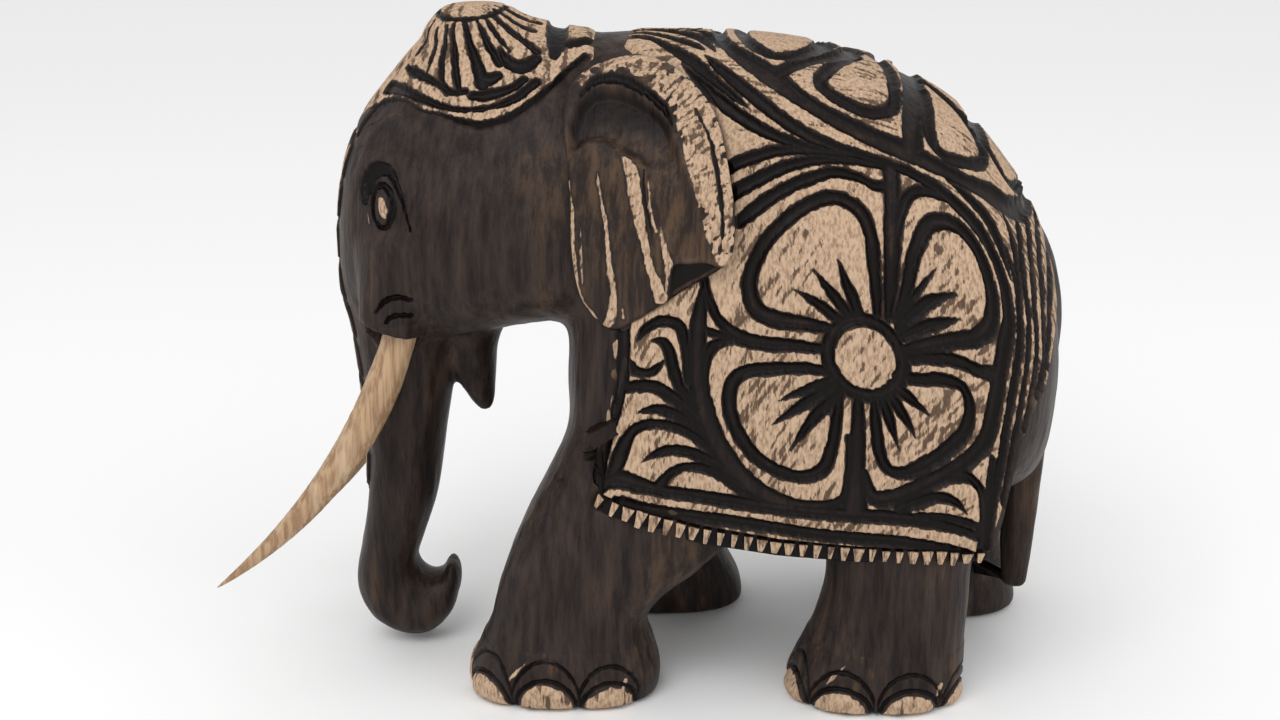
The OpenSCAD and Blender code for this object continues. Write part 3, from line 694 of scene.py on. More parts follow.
saddleCuts = [
    # borders of the saddle panel
    [[4, 9.5, 1.8], [8.6, 14.8, 2.5], [13, 20, 2.8], [17.4, 25.6, 2.2], [21, 29.6, 1.7], [24, 32.6, 1.2],
     [26.6, 35, 0.3]],
    [[10.4, 20.6, 0.6], [14, 26, 2], [18, 31.4, 2.8], [23, 36, 2.8], [29, 40, 2.6], [36, 42.6, 2.2],
     [44, 43.7, 1.6]],
    [[16, 17.6, 0.6], [19, 22, 2.2], [23.4, 27.2, 2.8], [28.4, 32.2, 2.9], [33.6, 36.6, 2.8], [40, 40.3, 2.8],
     [48, 42.6, 2.2], [57, 43.2, 2], [66, 43.4, 2.2], [74, 44.6, 2.8], [80.4, 46.6, 3.2], [85.2, 50.6, 2.6],
     [88.4, 56, 2]],
    [[19.6, 0, 2.6], [20.2, 8, 2.8], [22.2, 13.6, 3.4], [26, 18.6, 4.6], [31, 23.4, 5.4], [36, 28.4, 4.2],
     [42, 32.6, 3.6], [48, 35.4, 3.8], [56, 37.6, 4.2], [64, 38.2, 4.4], [72, 38, 3.6], [80, 36.4, 3.2],
     [86, 33.2, 4.4], [91, 28.6, 3.2], [94, 22, 2.2], [96, 14, 1.6], [97.2, 5, 1.4], [97.4, 0, 1.4]],
    # first petal, across the spine
    [[25.4, 0, 2.6], [25.8, 5, 2.6], [27.4, 10.6, 3], [30, 14.6, 3.2], [33.4, 16, 3.2], [37.4, 14.8, 3.2],
     [41.4, 10.8, 3.4], [44.6, 6, 4], [46.6, 0, 4.6]],
    [[34, 22.4, 3], [37.6, 19, 3.2], [42.4, 15, 3.4], [47.4, 10.6, 3.6], [51.4, 5.6, 4.2], [53.4, 0, 4.6]],
    # second petal
    [[53, 7.4, 3.2], [48.6, 14, 3], [45, 20, 2.8], [43.4, 24, 2.6], [45.4, 27.4, 2.8], [49.6, 29.6, 3],
     [54.6, 30.6, 3], [59, 28.8, 2.6], [61.4, 25, 2.4], [61.7, 18, 2.4], [61.4, 11, 2.6], [60, 5, 3.6],
     [58, 0, 4]],
    [[65.2, 37, 4], [65.4, 30, 4], [66.6, 22, 4.6], [67.2, 14, 4.6], [67.2, 7, 5], [66.6, 0, 6]],
    # third petal
    [[68.8, 12, 3.4], [69.4, 20, 3], [69.4, 27, 2.6], [70.4, 32.6, 2.6], [74, 33.8, 2.6], [78.4, 31.4, 2.4],
     [81.8, 28.4, 2.2], [83.4, 24.6, 1.8], [83, 19.6, 2.6], [81, 14.6, 3.6], [78.2, 10.6, 4],
     [74.6, 7.4, 4.2],
     [71.4, 4, 4.4]],
    # last petal, over the rump
    [[83.6, 10, 4], [85.4, 16.6, 3.6], [88, 21, 2.8], [91, 21.2, 2.4], [93.6, 15.4, 2], [95.2, 8, 1.4],
     [95.8, 0, 1.2]],
    [[83, 0, 4.4], [83.4, 6, 4.2], [83.8, 11, 4]],
    [[73, 40.3, 0.6], [78, 41, 2], [83, 42.2, 2.8], [86.2, 45.4, 2.6], [88.8, 50, 0.8]],
    [[87, 35.4, 0.8], [89.4, 39, 1.8], [90.8, 45, 1.9], [91.6, 53, 1.2]],
    # stripes that run together at the neck
    [[-8, 0.6, 0.8], [0, 3.4, 1.6], [5, 6, 1.8], [10, 9.6, 2], [13.6, 13, 1.6], [15.8, 15.6, 0.3]],
    [[-7, 0, 1], [3, 0.4, 2.4], [9, 2.4, 3.2], [13.4, 6.4, 3], [16.2, 11, 2], [18.4, 16, 0.4]],
    [[-8, 4.6, 1], [-2, 6, 1.6], [3, 8.6, 1.8]],
    [[12, 0, 1.2], [15.6, 2.6, 1.8], [18, 7, 2.4], [20.4, 13, 2.4]]]
blanketShape = {
    "step": 1.6, "low": 26.0, "square": 5.0, "across": 256, "down": 318, "depth": 1.5,
    "middle": (45, -12, 96),
    "wall": 4.0, "over": 1.3, "tilt": 18.0, "widen": 1.24, "widenUpTo": 87.5, "underEar": 3.4,
    "eye": (54.2, 91.3, 9.0, 9.4, 2.6, 20),
    # front and rear edges, by girth down from the spine
    "frontG": [0, 40, 70, 84, 98, 107, 115, 125, 140], "frontX": [-9, -6, -5, -7, -7.6, -9, -11.4, -13.8,
                                                                  -15.4],
    "rearG": [0, 8, 16, 25, 40, 58, 68, 80, 95, 110, 122, 132],
    "rearX": [96, 98, 102, 103, 101.5, 99.5, 97, 94.5, 92, 90, 88, 87.5],
    # where the sanded tops start, behind the front edge
    "paleG": [0, 9, 20, 84, 98, 100, 107, 114, 120, 126, 135],
    "paleX": [-14, -10, -6, -2, -2.4, -3, -5, -8, -10.6, -11.4, -11.6],
    # height of the band that the fringe lies on, and how far down it the teeth are centred
    "fringeX": [-10, 30, 60, 85], "fringeTall": [6.2, 6.0, 5.6, 3.8], "toothDown": [2.9, 2.8, 2.6, 1.8]}


def evened(v, rounds):   # each value becomes the mean of its neighbourhood, round after round
    for turn in range(rounds):
        for axis in (0, 1):
            v = (np.roll(v, 1, axis) + v + np.roll(v, -1, axis)) / 3
            edge = [slice(None)] * 2
            for k, n in ((0, 1), (-1, -2)):
                edge[axis] = k
                near = list(edge)
                near[axis] = n
                v[tuple(edge)] = v[tuple(near)]
    return v


def blanketPlaces():   # x, girth from the spine, rear edge, girth left to the hem, and place
    c = blanketShape
    xs, gs = np.arange(-17.0, 107.0, 0.5), np.arange(0.0, 176.0, 0.5)
    table = sectionTable(torsoRows, c["step"], c["low"], c["square"], xs, gs)
    hems = np.array([np.interp(-blanketHem(x), -table[k, :, 2], gs) for k, x in enumerate(xs)])
    p, q = unitGrid(c["across"], c["down"])
    x = -8 + 106 * p
    for turn in range(6):
        g = q * np.interp(x, xs, hems)
        front = np.interp(g, c["frontG"], c["frontX"])
        rear = np.interp(g, c["rearG"], c["rearX"])
        x = front + (rear - front) * p
    return x, g, rear, np.interp(x, xs, hems) - g, tableAt(table, xs, gs, x, g)


def laidOut(base, x, g):   # sunk under the ear, and lifted clear of the rump and of the legs
    c, at, aside = blanketShape, (128, 160), (0, -1, 0)
    ear = areaDistance(x, base[..., 2], earOutline)
    base = base - facing(gridNormals(base), at, aside) * (c["underEar"] * fade(1.0 - ear, 3.5))[..., None]
    up = facing(gridNormals(base), at, aside)
    lift = 0 * x
    for turn in range(8):
        gap = c["over"] - form.at(base + up * lift[..., None])
        lift += np.clip(gap, 0, 1.5) * fade(x - 74, 12)
    base = base + up * evened(lift, 6)[..., None]
    tilt = math.radians(c["tilt"])
    out = np.array([0.0, -math.cos(tilt), math.sin(tilt)])
    shift = 0 * x
    for turn in range(8):
        gap = c["over"] - form.at(base + out * shift[..., None])
        shift += np.clip(gap, 0, 2) * fade(g - 70, 20) * fade(ear, 3)
    base = base + out * evened(shift, 16)[..., None]
    return base, facing(gridNormals(base), at, aside)


def blanketCuts():   # all the strokes, opened a little except for the fine ones and the stripes down the rear
    c = blanketShape
    strokes = flankCuts + saddleCuts
    for petal in petals.values():
        strokes = strokes + [petal["groove"]] + petal["rays"]
    strokes = strokes + [ringStroke(*c["eye"])]
    broader = lambda w, at: w * c["widen"] + 0.3 if 1 < w and at < c["widenUpTo"] else w
    return [[[r[0], r[1], broader(r[2], rows[len(rows) // 2][0])] for r in rows] for rows in strokes]


def blanketTones(x, g, rear, base, d):   # sanded tops, stain in the cuts, and residue rubbed along the fibres
    c = blanketShape
    slanted = np.stack([x * 0.86 + g * 0.5, g * 0.86 - x * 0.5, 0 * x], -1)
    streak = grain(slanted, (0.6, 5.0, 1), 31) + 0.7 * grain(slanted, (0.35, 2.2, 1), 32)
    lengthways = grain(np.stack([x, g, 0 * x], -1), (6.0, 0.6, 1), 35) * 1.3
    streak = streak + (lengthways - streak) * fade(46 - g, 3)
    rub = 0.42 + 0.36 * streak + 0.3 * grain(slanted, (7, 9, 1), 34)
    # the floors of the wider cuts are less dark than their walls, a painted highlight
    cutDarkAndPaintedLight = fade(0.1 - d, 0.5) * (1 - 0.45 * fade(-d - 1.2, 0.8))
    start = np.interp(g, c["paleG"], c["paleX"])
    pale = np.minimum(d, (rear - 0.9 - x) + 6 * fade(60 - g, 12))
    pale = np.minimum(pale, (x - start) * 0.8 + 0.3 * grain(base, (1, 1, 2.5), 33))
    # a thin worn line ahead of the front groove
    ridge = 0.35 - np.abs(x - start + 3.2) + 0.5 * grain(base, (0.8, 0.8, 2.5), 36)
    pale = np.maximum(pale, np.minimum(ridge, np.minimum(g - 86, 116 - g)))
    return {"pale": pale, "cutDarkAndPaintedLight": cutDarkAndPaintedLight, "rub": rub}


def buildBlanket():
    c = blanketShape
    x, g, rear, hem, base = blanketPlaces()
    base, normals = laidOut(base, x, g)
    strokes = blanketCuts()
    fringe = hem - np.interp(x, c["fringeX"], c["fringeTall"])
    d = np.minimum(raggedCuts(x, g, strokes, 11), np.maximum(fringe, -1.2))
    relief = gouged(d, c["depth"], 0.55) - 0.06 * (1 + grain(base, (1.5, 1.5, 4), 21))
    values = blanketTones(x, g, rear, base, d)
    print("blanket strokes:", len(strokes))
    # the line that the fringe follows, a little under the face of its band
    k = np.arange(8, 250, 4)
    j = np.argmin(np.abs(fringe[k] + np.interp(x[k], c["fringeX"], c["toothDown"])), axis=1)
    line = (base[k, j] - normals[k, j] * 1.45, normals[k, j])
    return sidePair("blanket", base, normals, relief, values, c["middle"], c["wall"]), line


blankets, fringeLine = buildBlanket()


capCarving = {
    "depth": 1.2, "raised": 0.9, "wall": 2.5, "middle": (-42, -12, 140),
    "crown": (-41, 0, 7.4, 8.6, 1.0, 0, 5, 175),
    # girth of the sheet from the middle line, by x
    "x": [-73, -68, -62, -57, -53, -48, -43, -38, -33, -28, -23, -18, -13, -8],
    "girth": [6, 10, 16.5, 23, 29.6, 34.6, 38.2, 40, 39.2, 36.4, 31.6, 25.4, 20, 15],
    "cuts": [
        [[-71, 3, 1.4], [-68, 6, 1.8], [-62, 12.4, 2.4], [-57, 19.4, 2.2], [-53, 26, 2.3], [-48, 31, 2.3],
         [-43, 34.6, 2.6],
         [-38, 36.2, 2.8], [-33, 35.4, 2.8], [-28, 32.4, 2.8], [-23, 27.6, 2.6], [-18, 21.4, 2.2],
         [-13, 14.6, 2]],
        [[-62, 7, 2.4], [-59, 12, 2.2], [-56, 17, 1.8], [-52, 23, 1.5], [-48, 27.8, 1.3], [-44, 30.8, 1.3],
         [-39, 32, 1.3],
         [-34, 31.4, 1.5], [-29, 28.6, 2.2], [-24.5, 24, 2.4]],
        [[-57, 8, 0.8], [-55, 12, 1.7], [-52, 17, 1.6], [-48, 22.4, 1.4], [-45, 26.2, 1.5], [-41.6, 27, 1.6]],
        [[-40, 28.4, 2.2], [-36, 28.6, 3], [-31, 26.8, 2.2], [-27.4, 23.6, 1.8]],
        [[-38.4, 24, 2.4], [-35.8, 24.6, 3.4], [-33.6, 23.4, 2]],
        [[-33.6, 16, 1.2], [-31.6, 19.6, 3.4], [-28, 20.2, 4], [-25, 17.4, 3]],
        [[-48.4, 7.4, 0.5], [-50, 12, 1.3], [-51.4, 16.4, 0.6]],
        [[-46, 8.6, 0.6], [-47.6, 15, 1.5], [-47.6, 22, 1.4], [-46, 26.4, 0.7]],
        [[-44.6, 8.6, 0.7], [-44.8, 15, 1.6], [-44, 22, 1.8], [-43, 27, 1]],
        [[-42.2, 8.8, 0.6], [-40.8, 15, 2], [-38.9, 21, 3], [-37.6, 26, 3]],
        [[-39.6, 8.6, 0.8], [-36.6, 15, 1.7], [-33.6, 20.4, 2.2]],
        [[-38, 7.8, 0.6], [-34.6, 12.4, 1.2], [-31.4, 16.4, 0.5]],
        [[-37, 6.4, 0.8], [-32.6, 9.4, 1.8], [-28, 12.4, 2.2], [-25, 15, 2.4]],
        [[-36.2, 4.8, 0.6], [-31, 6.6, 1.4], [-26, 8, 1.6]],
        [[-35.8, 2.8, 0.6], [-30, 3.4, 1.6], [-25, 3.4, 1.8]], [[-49.2, 4, 0.8], [-54, 7, 1.6]],
        [[-20.4, 0, 5], [-20.4, 6, 5.4], [-20.2, 11.6, 4.6], [-20.6, 16, 2.2]],
        [[-17, 11, 3], [-13, 8.6, 3.4], [-9, 8.4, 3]]]}


def buildCap():
    c = capCarving
    xs, gs = np.arange(-76.0, -8.0, 0.5), np.arange(0.0, 60.0, 0.5)
    table = sectionTable(headRows, 0.0, None, None, xs, gs)
    p, q = unitGrid(196, 150)
    x = -73 + 64 * p
    g = q * np.interp(x, c["x"], c["girth"])
    base = tableAt(table, xs, gs, x, g)
    base = settled(base, -facing(gridNormals(base), (98, 60), (0, 0, 1)), 16)
    d = raggedCuts(x, g, c["cuts"] + [ringStroke(*c["crown"])], 41)
    border = smoothRows(c["cuts"][0], 6)
    past = g - np.interp(x, border[:, 0], border[:, 1])
    edge = np.minimum(np.minimum(1 - q, p), 1 - p)
    lift = c["raised"] * fade(edge - 0.02, 0.05) * fade(1.5 - past, 3.0)
    relief = lift + gouged(d, c["depth"], 0.5) - 0.7 * (1 - fade(edge, 0.05))
    rub = 0.42 + 0.5 * grain(np.stack([x, g, 0 * x], -1), (1.2, 5, 1), 42)
    values = {"pale": np.minimum(d, 0.9 - past), "cutDarkAndPaintedLight": fade(0.1 - d, 0.5), "rub": rub}
    return sidePair("head_cap", base, form.normal(base), relief, values, c["middle"], c["wall"])


stripCarving = {"halfWidth": 8.0, "raised": 1.3, "spacing": 10.5, "first": 150.0, "last": 43.0, "depth": 1.1,
                "ahead": -84.0, "slant": 0.55, "groove": 3.0, "spine": 1.8, "middle": (-60, 0, 100)}


def buildStrip():   # a row of V cuts down the forehead and the trunk
    c = stripCarving
    p, q = np.meshgrid(np.linspace(0, 1, 260), np.linspace(-1, 1, 60), indexing="ij")
    z = c["first"] + (c["last"] - c["first"]) * p
    y = q * c["halfWidth"] * (1 - 0.35 * fade(p - 0.75, 0.25))
    base = settled(np.stack([0 * z + c["ahead"], y, z], -1), np.array([1.0, 0, 0]), 40)
    place = (z - c["slant"] * (c["halfWidth"] - np.abs(y)) + 3) % c["spacing"]
    cross = np.abs(place - c["spacing"] / 2) - c["groove"] / 2
    spine = np.abs(y) - c["spine"] / 2
    edge = np.minimum(1 - np.abs(q), np.minimum(p, 1 - p) * 6)
    d = np.minimum(np.minimum(cross, spine), (edge - 0.16) * 8) + 0.2 * grain(base, (0.8, 0.8, 1.6), 51)
    relief = c["raised"] * fade(edge, 0.12) - 0.5 + gouged(d, c["depth"], 0.5)
    pale = np.minimum(d, 3.0 * grain(base, (3.0, 4.0, 9.0), 52) + 0.5)
    values = {"pale": pale, "cutDarkAndPaintedLight": fade(0.1 - d, 0.5), "rub": 0.5 + 0.5 * grain(base, (2, 1, 6), 53)}
    print("trunk_strip carved")
    return [carvedSheet("trunk_strip", base, form.normal(base), relief, values, c["middle"], 2.0)]


earCarving = {
    "middle": (2, 134), "anchor": (-8, -10, 130), "thick": 6.0, "run": 45.0, "proud": 3.0,
    # the back of the ear: share of the outline's size, and how far in
    "back": [[1, 0.5], [1, 1], [0.95, 1.6], [0.82, 3.4], [0.64, 5.4]],
    "hollow": [[-15, 153], [-12, 156], [-8, 157.2], [-4, 157], [1, 155.2], [5, 152.6], [7.4, 149.6],
               [9, 145], [11, 139],
               [13, 133], [15, 126], [17, 120.4], [13, 118.4], [9.4, 119], [6.4, 123.4], [3.6, 127], [2, 133],
               [1.2, 139.6], [-3.6, 142.6], [-8, 144.8], [-13, 143.8], [-17, 139], [-17, 146]],
    "rim": [[-14, 154.6, 0.6], [-11, 157.6, 1.9], [-7, 158.6, 2.3], [-3, 158.2, 2.4], [2, 156, 2.2],
            [6, 153, 1.8], [8, 149.6, 0.7]],
    # the notch at the foot of the ear's rear edge is cut deeper and painted near black as the shadow under
    # the ear
    "paintedShadowNotch": [[20, 118.4], [16, 119.6], [12, 119], [8.6, 118.4], [7.6, 113.6], [8, 109.6], [14, 113]],
    "band": [[-16, 158], [-13, 156.4], [-10, 158.6], [-6, 159.8], [-2, 159.2], [3, 156.8], [7, 153.6],
             [9.6, 148], [11.6, 141],
             [13.6, 134], [15.6, 127], [18.2, 120.4], [21, 119], [24, 126], [23.4, 138], [20, 152],
             [14, 160], [6, 164],
             [-1, 166], [-9, 163.6]],
    "pale": [
        [[-3.6, 142, 0.8], [-1.4, 139, 3.2], [-0.4, 133, 3.2], [0.8, 127, 2.6], [2.2, 121, 2.0],
         [4, 115, 2.4], [5.6, 110.6, 3.6]],
        [[2.4, 138, 0.3], [3, 131, 0.7], [4.4, 126, 1.2]], [[5.2, 127, 0.5], [6.6, 121.6, 1.6],
                                                            [8, 117, 2.6], [7.6, 112.6, 1.8]],
        [[-9.4, 138, 0.4], [-8.4, 132, 0.9], [-7.2, 125, 1.2], [-6.4, 117, 1.4], [-5.6, 110, 1.9],
         [-6.2, 104, 2.6], [-7.6, 102.4, 2]],
        [[-16.4, 136, 0.3], [-15.4, 128, 0.7], [-15.4, 119, 1.8], [-14.8, 112, 2.2], [-13, 107.6, 1.3],
         [-9, 103, 0.6]],
        [[-13.4, 126, 0.3], [-13.2, 118, 0.6], [-13, 112, 0.4]], [[-3.4, 107, 0.3], [-3.2, 104.6, 0.9]]],
    "dark": [[[13.6, 153, 0.4], [17, 146.6, 0.9], [19, 137, 0.9], [19.9, 128, 0.8], [19.2, 122, 0.4]],
             [[1.4, 139.6, 0.7], [1.7, 133, 1.1], [2.9, 127.6, 0.7], [3.9, 122, 0.4]],
             [[-17.4, 139, 1.2], [-17, 126, 1], [-16.6, 114, 1]]]}


def onEar(x, z):   # the ear's face leans out toward the rear, and its lobe stands proud of the blanket
    c = earCarving
    lean = (x + 17.5) / 40.0
    rise = np.clip((z - 118) / 48.0, 0, 0.999)
    proud = c["proud"] * fade(132 - z, 16) * (1 - 0.75 * lean)
    return -(36 + 14 * lean) * (1 - rise ** 2.2) ** (1 / 2.2) - proud


def earSurface(x, z, reach):   # relief, and sanded, stained and rubbed tones, over the face of the ear
    c = earCarving
    band, hollow, paintedShadowNotch = (areaDistance(x, z, c[key]) for key in ("band", "hollow", "paintedShadowNotch"))
    rim, dark, pale = (cutDistance(x, z, strokes) for strokes in ([c["rim"]], c["dark"], c["pale"]))
    p = np.stack([x, z, 0 * x], -1)
    slanted = np.stack([x * 0.8 + z * 0.6, z * 0.8 - x * 0.6, 0 * x], -1)
    torn = 0.25 * grain(p, (0.8, 1.6, 1), 61) + 0.15 * grain(p, (0.4, 0.8, 1), 62)
    pits = grain(slanted, (2.2, 0.6, 1), 63) + 0.4 * grain(p, (0.5, 0.9, 1), 69)
    relief = -(1.1 + 1.9 * fade(z - 136, 12)) * fade(0.4 - hollow, 2.6) - 1.3 * fade(0.3 - paintedShadowNotch, 1.2)
    relief = relief + gouged(rim + torn, 1.6, 0.6) + gouged(dark + torn, 0.5, 0.4)
    relief = relief + 0.2 * grain(p, (1.3, 11, 1), 64) * fade(band, 1.0)
    relief = relief - 0.14 * (1 + pits) * fade(-band, 1.0) - 0.5 * fade(reach - 0.955, 0.045) ** 2
    # the band behind the hollow and the strokes are sanded, the rest keeps its stain
    streaks = -pale + torn * 0.8
    worn = 3.0 * fade(pits - 0.1, 0.4) * fade(x - 2, 6) * fade(grain(p, (6, 8, 1), 67) + 0.55, 0.5)
    bare = -band + torn - worn - 3.0 * fade(grain(p, (3.5, 1.6, 1), 66), 0.5) * fade(z - 157, 3)
    bare = np.minimum(np.minimum(np.maximum(bare, streaks), paintedShadowNotch), np.minimum(rim, dark) + torn)
    bare = np.minimum(bare, 22.6 - x + 1.2 * grain(p, (1, 6, 1), 68))
    # the notch gets the near-black cut colour as a painted shadow under the ear
    cutDarkAndPaintedLight = np.maximum(fade(0.2 - rim - torn, 0.6), fade(0.2 - paintedShadowNotch, 0.6))
    cutDarkAndPaintedLight = np.maximum(cutDarkAndPaintedLight, np.maximum(fade(-dark, 0.3), 0.85 * fade(-hollow, 1.5) * fade(z - 145, 7)))
    rub = 0.5 + 0.5 * fade(z + 30 - np.abs(x), 60) - 0.35 * fade(z - 138, 12)
    rub = rub + 0.12 * grain(p, (1.0, 9, 1), 65)
    rub = np.where(band < 0, 0.5 + 0.5 * pits, rub)
    rub = np.where(streaks > -0.4, 0.42 + 0.3 * pits, rub)
    return relief, {"pale": bare, "cutDarkAndPaintedLight": cutDarkAndPaintedLight, "rub": rub}


def buildEar():
    c = earCarving
    o = smoothRows(earOutline + earOutline[:1], 24)[:-1]
    spread = lambda share: [c["middle"][k] + (o[:, k] - c["middle"][k]) * share for k in (0, 1)]
    reach = np.linspace(0.01, 1, 100)[:, None]
    x, z = spread(reach)
    relief, values = earSurface(x, z, reach)
    face = np.stack([x, onEar(x, z), z], -1)
    normals = facing(gridNormals(face), (60, 0), (0, -1, 0))
    back = []
    for share, inward in [[1, 0.2]] + c["back"]:
        u, v = spread(share)
        e = np.stack([u, onEar(u, v), v], -1)
        back.append(e + (np.array(c["anchor"]) - e) * inward * c["thick"] / c["run"])
    base = np.concatenate([face, np.array(back)])
    normals = np.concatenate([normals, np.repeat(normals[-1:], len(back), 0)])
    grown = lambda v, more: np.concatenate([v, np.full((len(back), len(o)), more)])
    values = {key: grown(values[key], more) for key, more in (("pale", -2), ("cutDarkAndPaintedLight", 0.2), ("rub", 0.6))}
    return sidePair("ear", base, normals, grown(relief, -0.2), values, c["anchor"], 0.4, loop=True)


faceCarving = {
    "depth": 1.5, "bead": 0.6, "middle": (-60, -10, 115),
    "dark": [
        [[-67.6, 127, 2], [-66.9, 131.6, 3.8], [-64.4, 134.8, 4], [-61.2, 134.8, 3.2], [-59.2, 132.2, 1.9],
         [-57.3, 128, 1.4], [-55.4, 121.6, 0.8]],
        [[-64.6, 130.6, 1.6], [-62.6, 131.4, 2], [-60.5, 129.6, 2.1], [-60, 126, 2], [-61, 122.8, 1.8],
         [-63, 121.6, 1.4], [-65, 123.4, 1.1],
         [-65.4, 127.2, 1.4], [-64.6, 130.6, 1.6]],
        [[-64.8, 100.8, 0.8], [-62.4, 103.8, 1.5], [-59.4, 105, 1.6], [-56, 104.2, 1.4]],
        [[-62.2, 98.4, 0.8], [-60, 100.2, 1.6], [-56, 99.8, 1.5]]],
    "pale": [[[-62.8, 127.8, 2], [-62.4, 125.6, 2.6], [-62.2, 124.6, 2.2]],
             [[-66.7, 124.4, 0.5], [-66.2, 122, 0.8]]]}


def buildFace():   # the eye with its bead, and the mouth
    c = faceCarving
    p, q = unitGrid(150, 260)
    x, z = -70.5 + 17.5 * p, 95.5 + 45 * q
    base = settled(np.stack([x, 0 * x - 40, z], -1), np.array([0, 1.0, 0]), 40)
    d = raggedCuts(x, z, c["dark"], 71)
    edge = fade(np.minimum(np.minimum(p, 1 - p), np.minimum(q, 1 - q)), 0.08)
    bead = -cutDistance(x, z, c["pale"][:1])
    relief = (0.1 - 0.5 * (1 - edge)) + gouged(d, c["depth"], 0.5) + c["bead"] * fade(bead, 1.0)
    pale = np.maximum(np.minimum(-cutDistance(x, z, c["pale"]), d), -2.0)
    values = {"pale": pale, "cutDarkAndPaintedLight": fade(0.15 - d, 0.5), "rub": 0.5 + 0 * x}
    return sidePair("face_carving", base, form.normal(base), relief, values, c["middle"])


# each toenail: place round the ankle, half width, height
footCarving = {
    "aside": 28.4, "around": 400, "top": 17.5, "wall": 1.6, "depth": 1.1,
    "front": {"at": -19.0, "half": 24.0, "nails": [[-38, 7.6, 11], [-21.5, 7.4, 8], [-4, 7.4, 8],
                                                   [12.5, 7, 7]]},
    "hind": {"at": 61.0, "half": 23.0, "nails": [[-44, 7.2, 7.4], [-27, 7.4, 6.8], [-9.5, 7.4, 6.6],
                                                 [8.5, 7.2, 6.6], [25, 6.4, 6]]},
    "chips": [[[-13.6, 8, 0.5], [-11.4, 11, 1.3], [-9, 13.6, 0.3]], [[15, 4, 0.4], [16.4, 8, 1.4]]]}


def buildFoot(kind, side):
    c = footCarving
    cx = c[kind]["at"] + (stance["stride"] if side > 0 else 0)
    cy, far = side * c["aside"], c[kind]["half"] * 1.5
    a = np.linspace(0, 2 * np.pi, c["around"], endpoint=False)
    q, t = np.meshgrid(np.concatenate([[0.06, 0.5], np.linspace(1.1, c["top"], 62)]), a, indexing="ij")
    way = np.stack([-np.sin(t), -side * np.cos(t), 0 * t], -1)
    base = settled(np.stack([cx + np.sin(t) * far, cy + side * np.cos(t) * far, q], -1), way, 46)
    # distance round the ankle from the middle of its outer side
    ring = base[12]
    s = np.cumsum(np.linalg.norm(ring - np.roll(ring, 1, 0), axis=-1))
    s = np.where(s > s[-1] / 2, s - s[-1], s)[None, :] + 0 * q
    normals = form.normal(base)
    normals[:, :, 2] *= fade(q - 1, 2)
    normals /= np.linalg.norm(normals, axis=-1, keepdims=True)
    p = np.stack([s, q, 0 * q], -1)
    torn = 0.25 * grain(p, (1.2, 1.2, 1), 81 + side) + 0.12 * grain(p, (0.5, 0.5, 1), 84)
    d, pale, swell = np.full(q.shape, 4.0), np.full(q.shape, -2.0), 0 * q
    for place, half, tall in c[kind]["nails"]:
        gap = (np.hypot((s - place) / half, q / tall) - 1) * tall
        high = (np.hypot((s - place) / (half * 1.25), q / (tall * 1.75)) - 1) * tall * 1.4
        d = np.minimum(d, np.abs(gap - 0.8) - 0.7)
        d = np.minimum(d, np.where(np.abs(s - place) < half * 1.2, np.abs(high) - 0.55, 4))
        pale = np.maximum(pale, -gap - 0.3 + torn)
        swell = np.maximum(swell, 0.7 * fade(-gap, 3.0))
    d = d + torn * 0.6
    pale = np.maximum(pale, -cutDistance(s, q, c["chips"]) + torn)
    pale = np.minimum(np.maximum(pale, -2), d + 0.3)
    relief = 0.15 - 0.6 * fade(q - 15, 2.5) + gouged(d, c["depth"], 0.4) + swell * fade(q, 1.2)
    relief = relief - 0.25 * fade(1.3 - q, 1.0)
    values = {"pale": pale, "cutDarkAndPaintedLight": fade(0.15 - d, 0.5), "rub": 0.45 + 0.5 * grain(p, (1.5, 4, 1), 86)}
    name = "%s_foot_%s" % (kind, "right" if side > 0 else "left")
    return carvedSheet(name, base, normals, relief, values, (cx, cy, 9), c["wall"], loop=True)


carvings = buildCap() + buildStrip() + buildEar() + buildFace()
carvings += [buildFoot(kind, side) for kind in ("front", "hind") for side in (-1, 1)]
print("feet carved")


# each input is linked where a socket is given, and set otherwise
def addNode(tree, kind, inputs=None, **settings):
    node = tree.nodes.new(kind)
    node.location = (180 * len(tree.nodes), 0)
    for key, value in settings.items():
        setattr(node, key, value)
    for key, value in (inputs or {}).items():
        if isinstance(value, bpy.types.NodeSocket):
            tree.links.new(value, node.inputs[key])
        else:
            node.inputs[key].default_value = value
    return node


def noiseNode(tree, coords, scale, detail, rough, stretch, turn=(0, 0, 0)):
    placed = addNode(tree, "ShaderNodeMapping", {"Vector": coords, "Scale": stretch, "Rotation": turn})
    shape = {"Vector": placed.outputs["Vector"], "Scale": scale, "Detail": detail, "Roughness": rough}
    return addNode(tree, "ShaderNodeTexNoise", shape).outputs["Fac"]


def mathNode(tree, operation, a, b=None):
    values = {k: v for k, v in enumerate((a, b)) if v is not None}
    return addNode(tree, "ShaderNodeMath", values, operation=operation).outputs[0]


def rampNode(tree, value, low, high, out=(0.0, 1.0)):
    ends = {"Value": value, "From Min": low, "From Max": high, "To Min": out[0], "To Max": out[1]}
    return addNode(tree, "ShaderNodeMapRange", ends, interpolation_type="SMOOTHSTEP").outputs["Result"]


def mixNode(tree, share, a, b):   # the sockets 0, 6 and 7 are the factor and the two colours
    return addNode(tree, "ShaderNodeMix", {0: share, 6: a, 7: b}, data_type="RGBA").outputs[2]


def colour(r, g, b):   # from 0 to 255 as the eye sees it, to the linear values of a shader
    f = lambda v: (v / 255 / 12.92) if v / 255 <= 0.04045 else ((v / 255 + 0.055) / 1.055) ** 2.4
    return (f(r), f(g), f(b), 1.0)


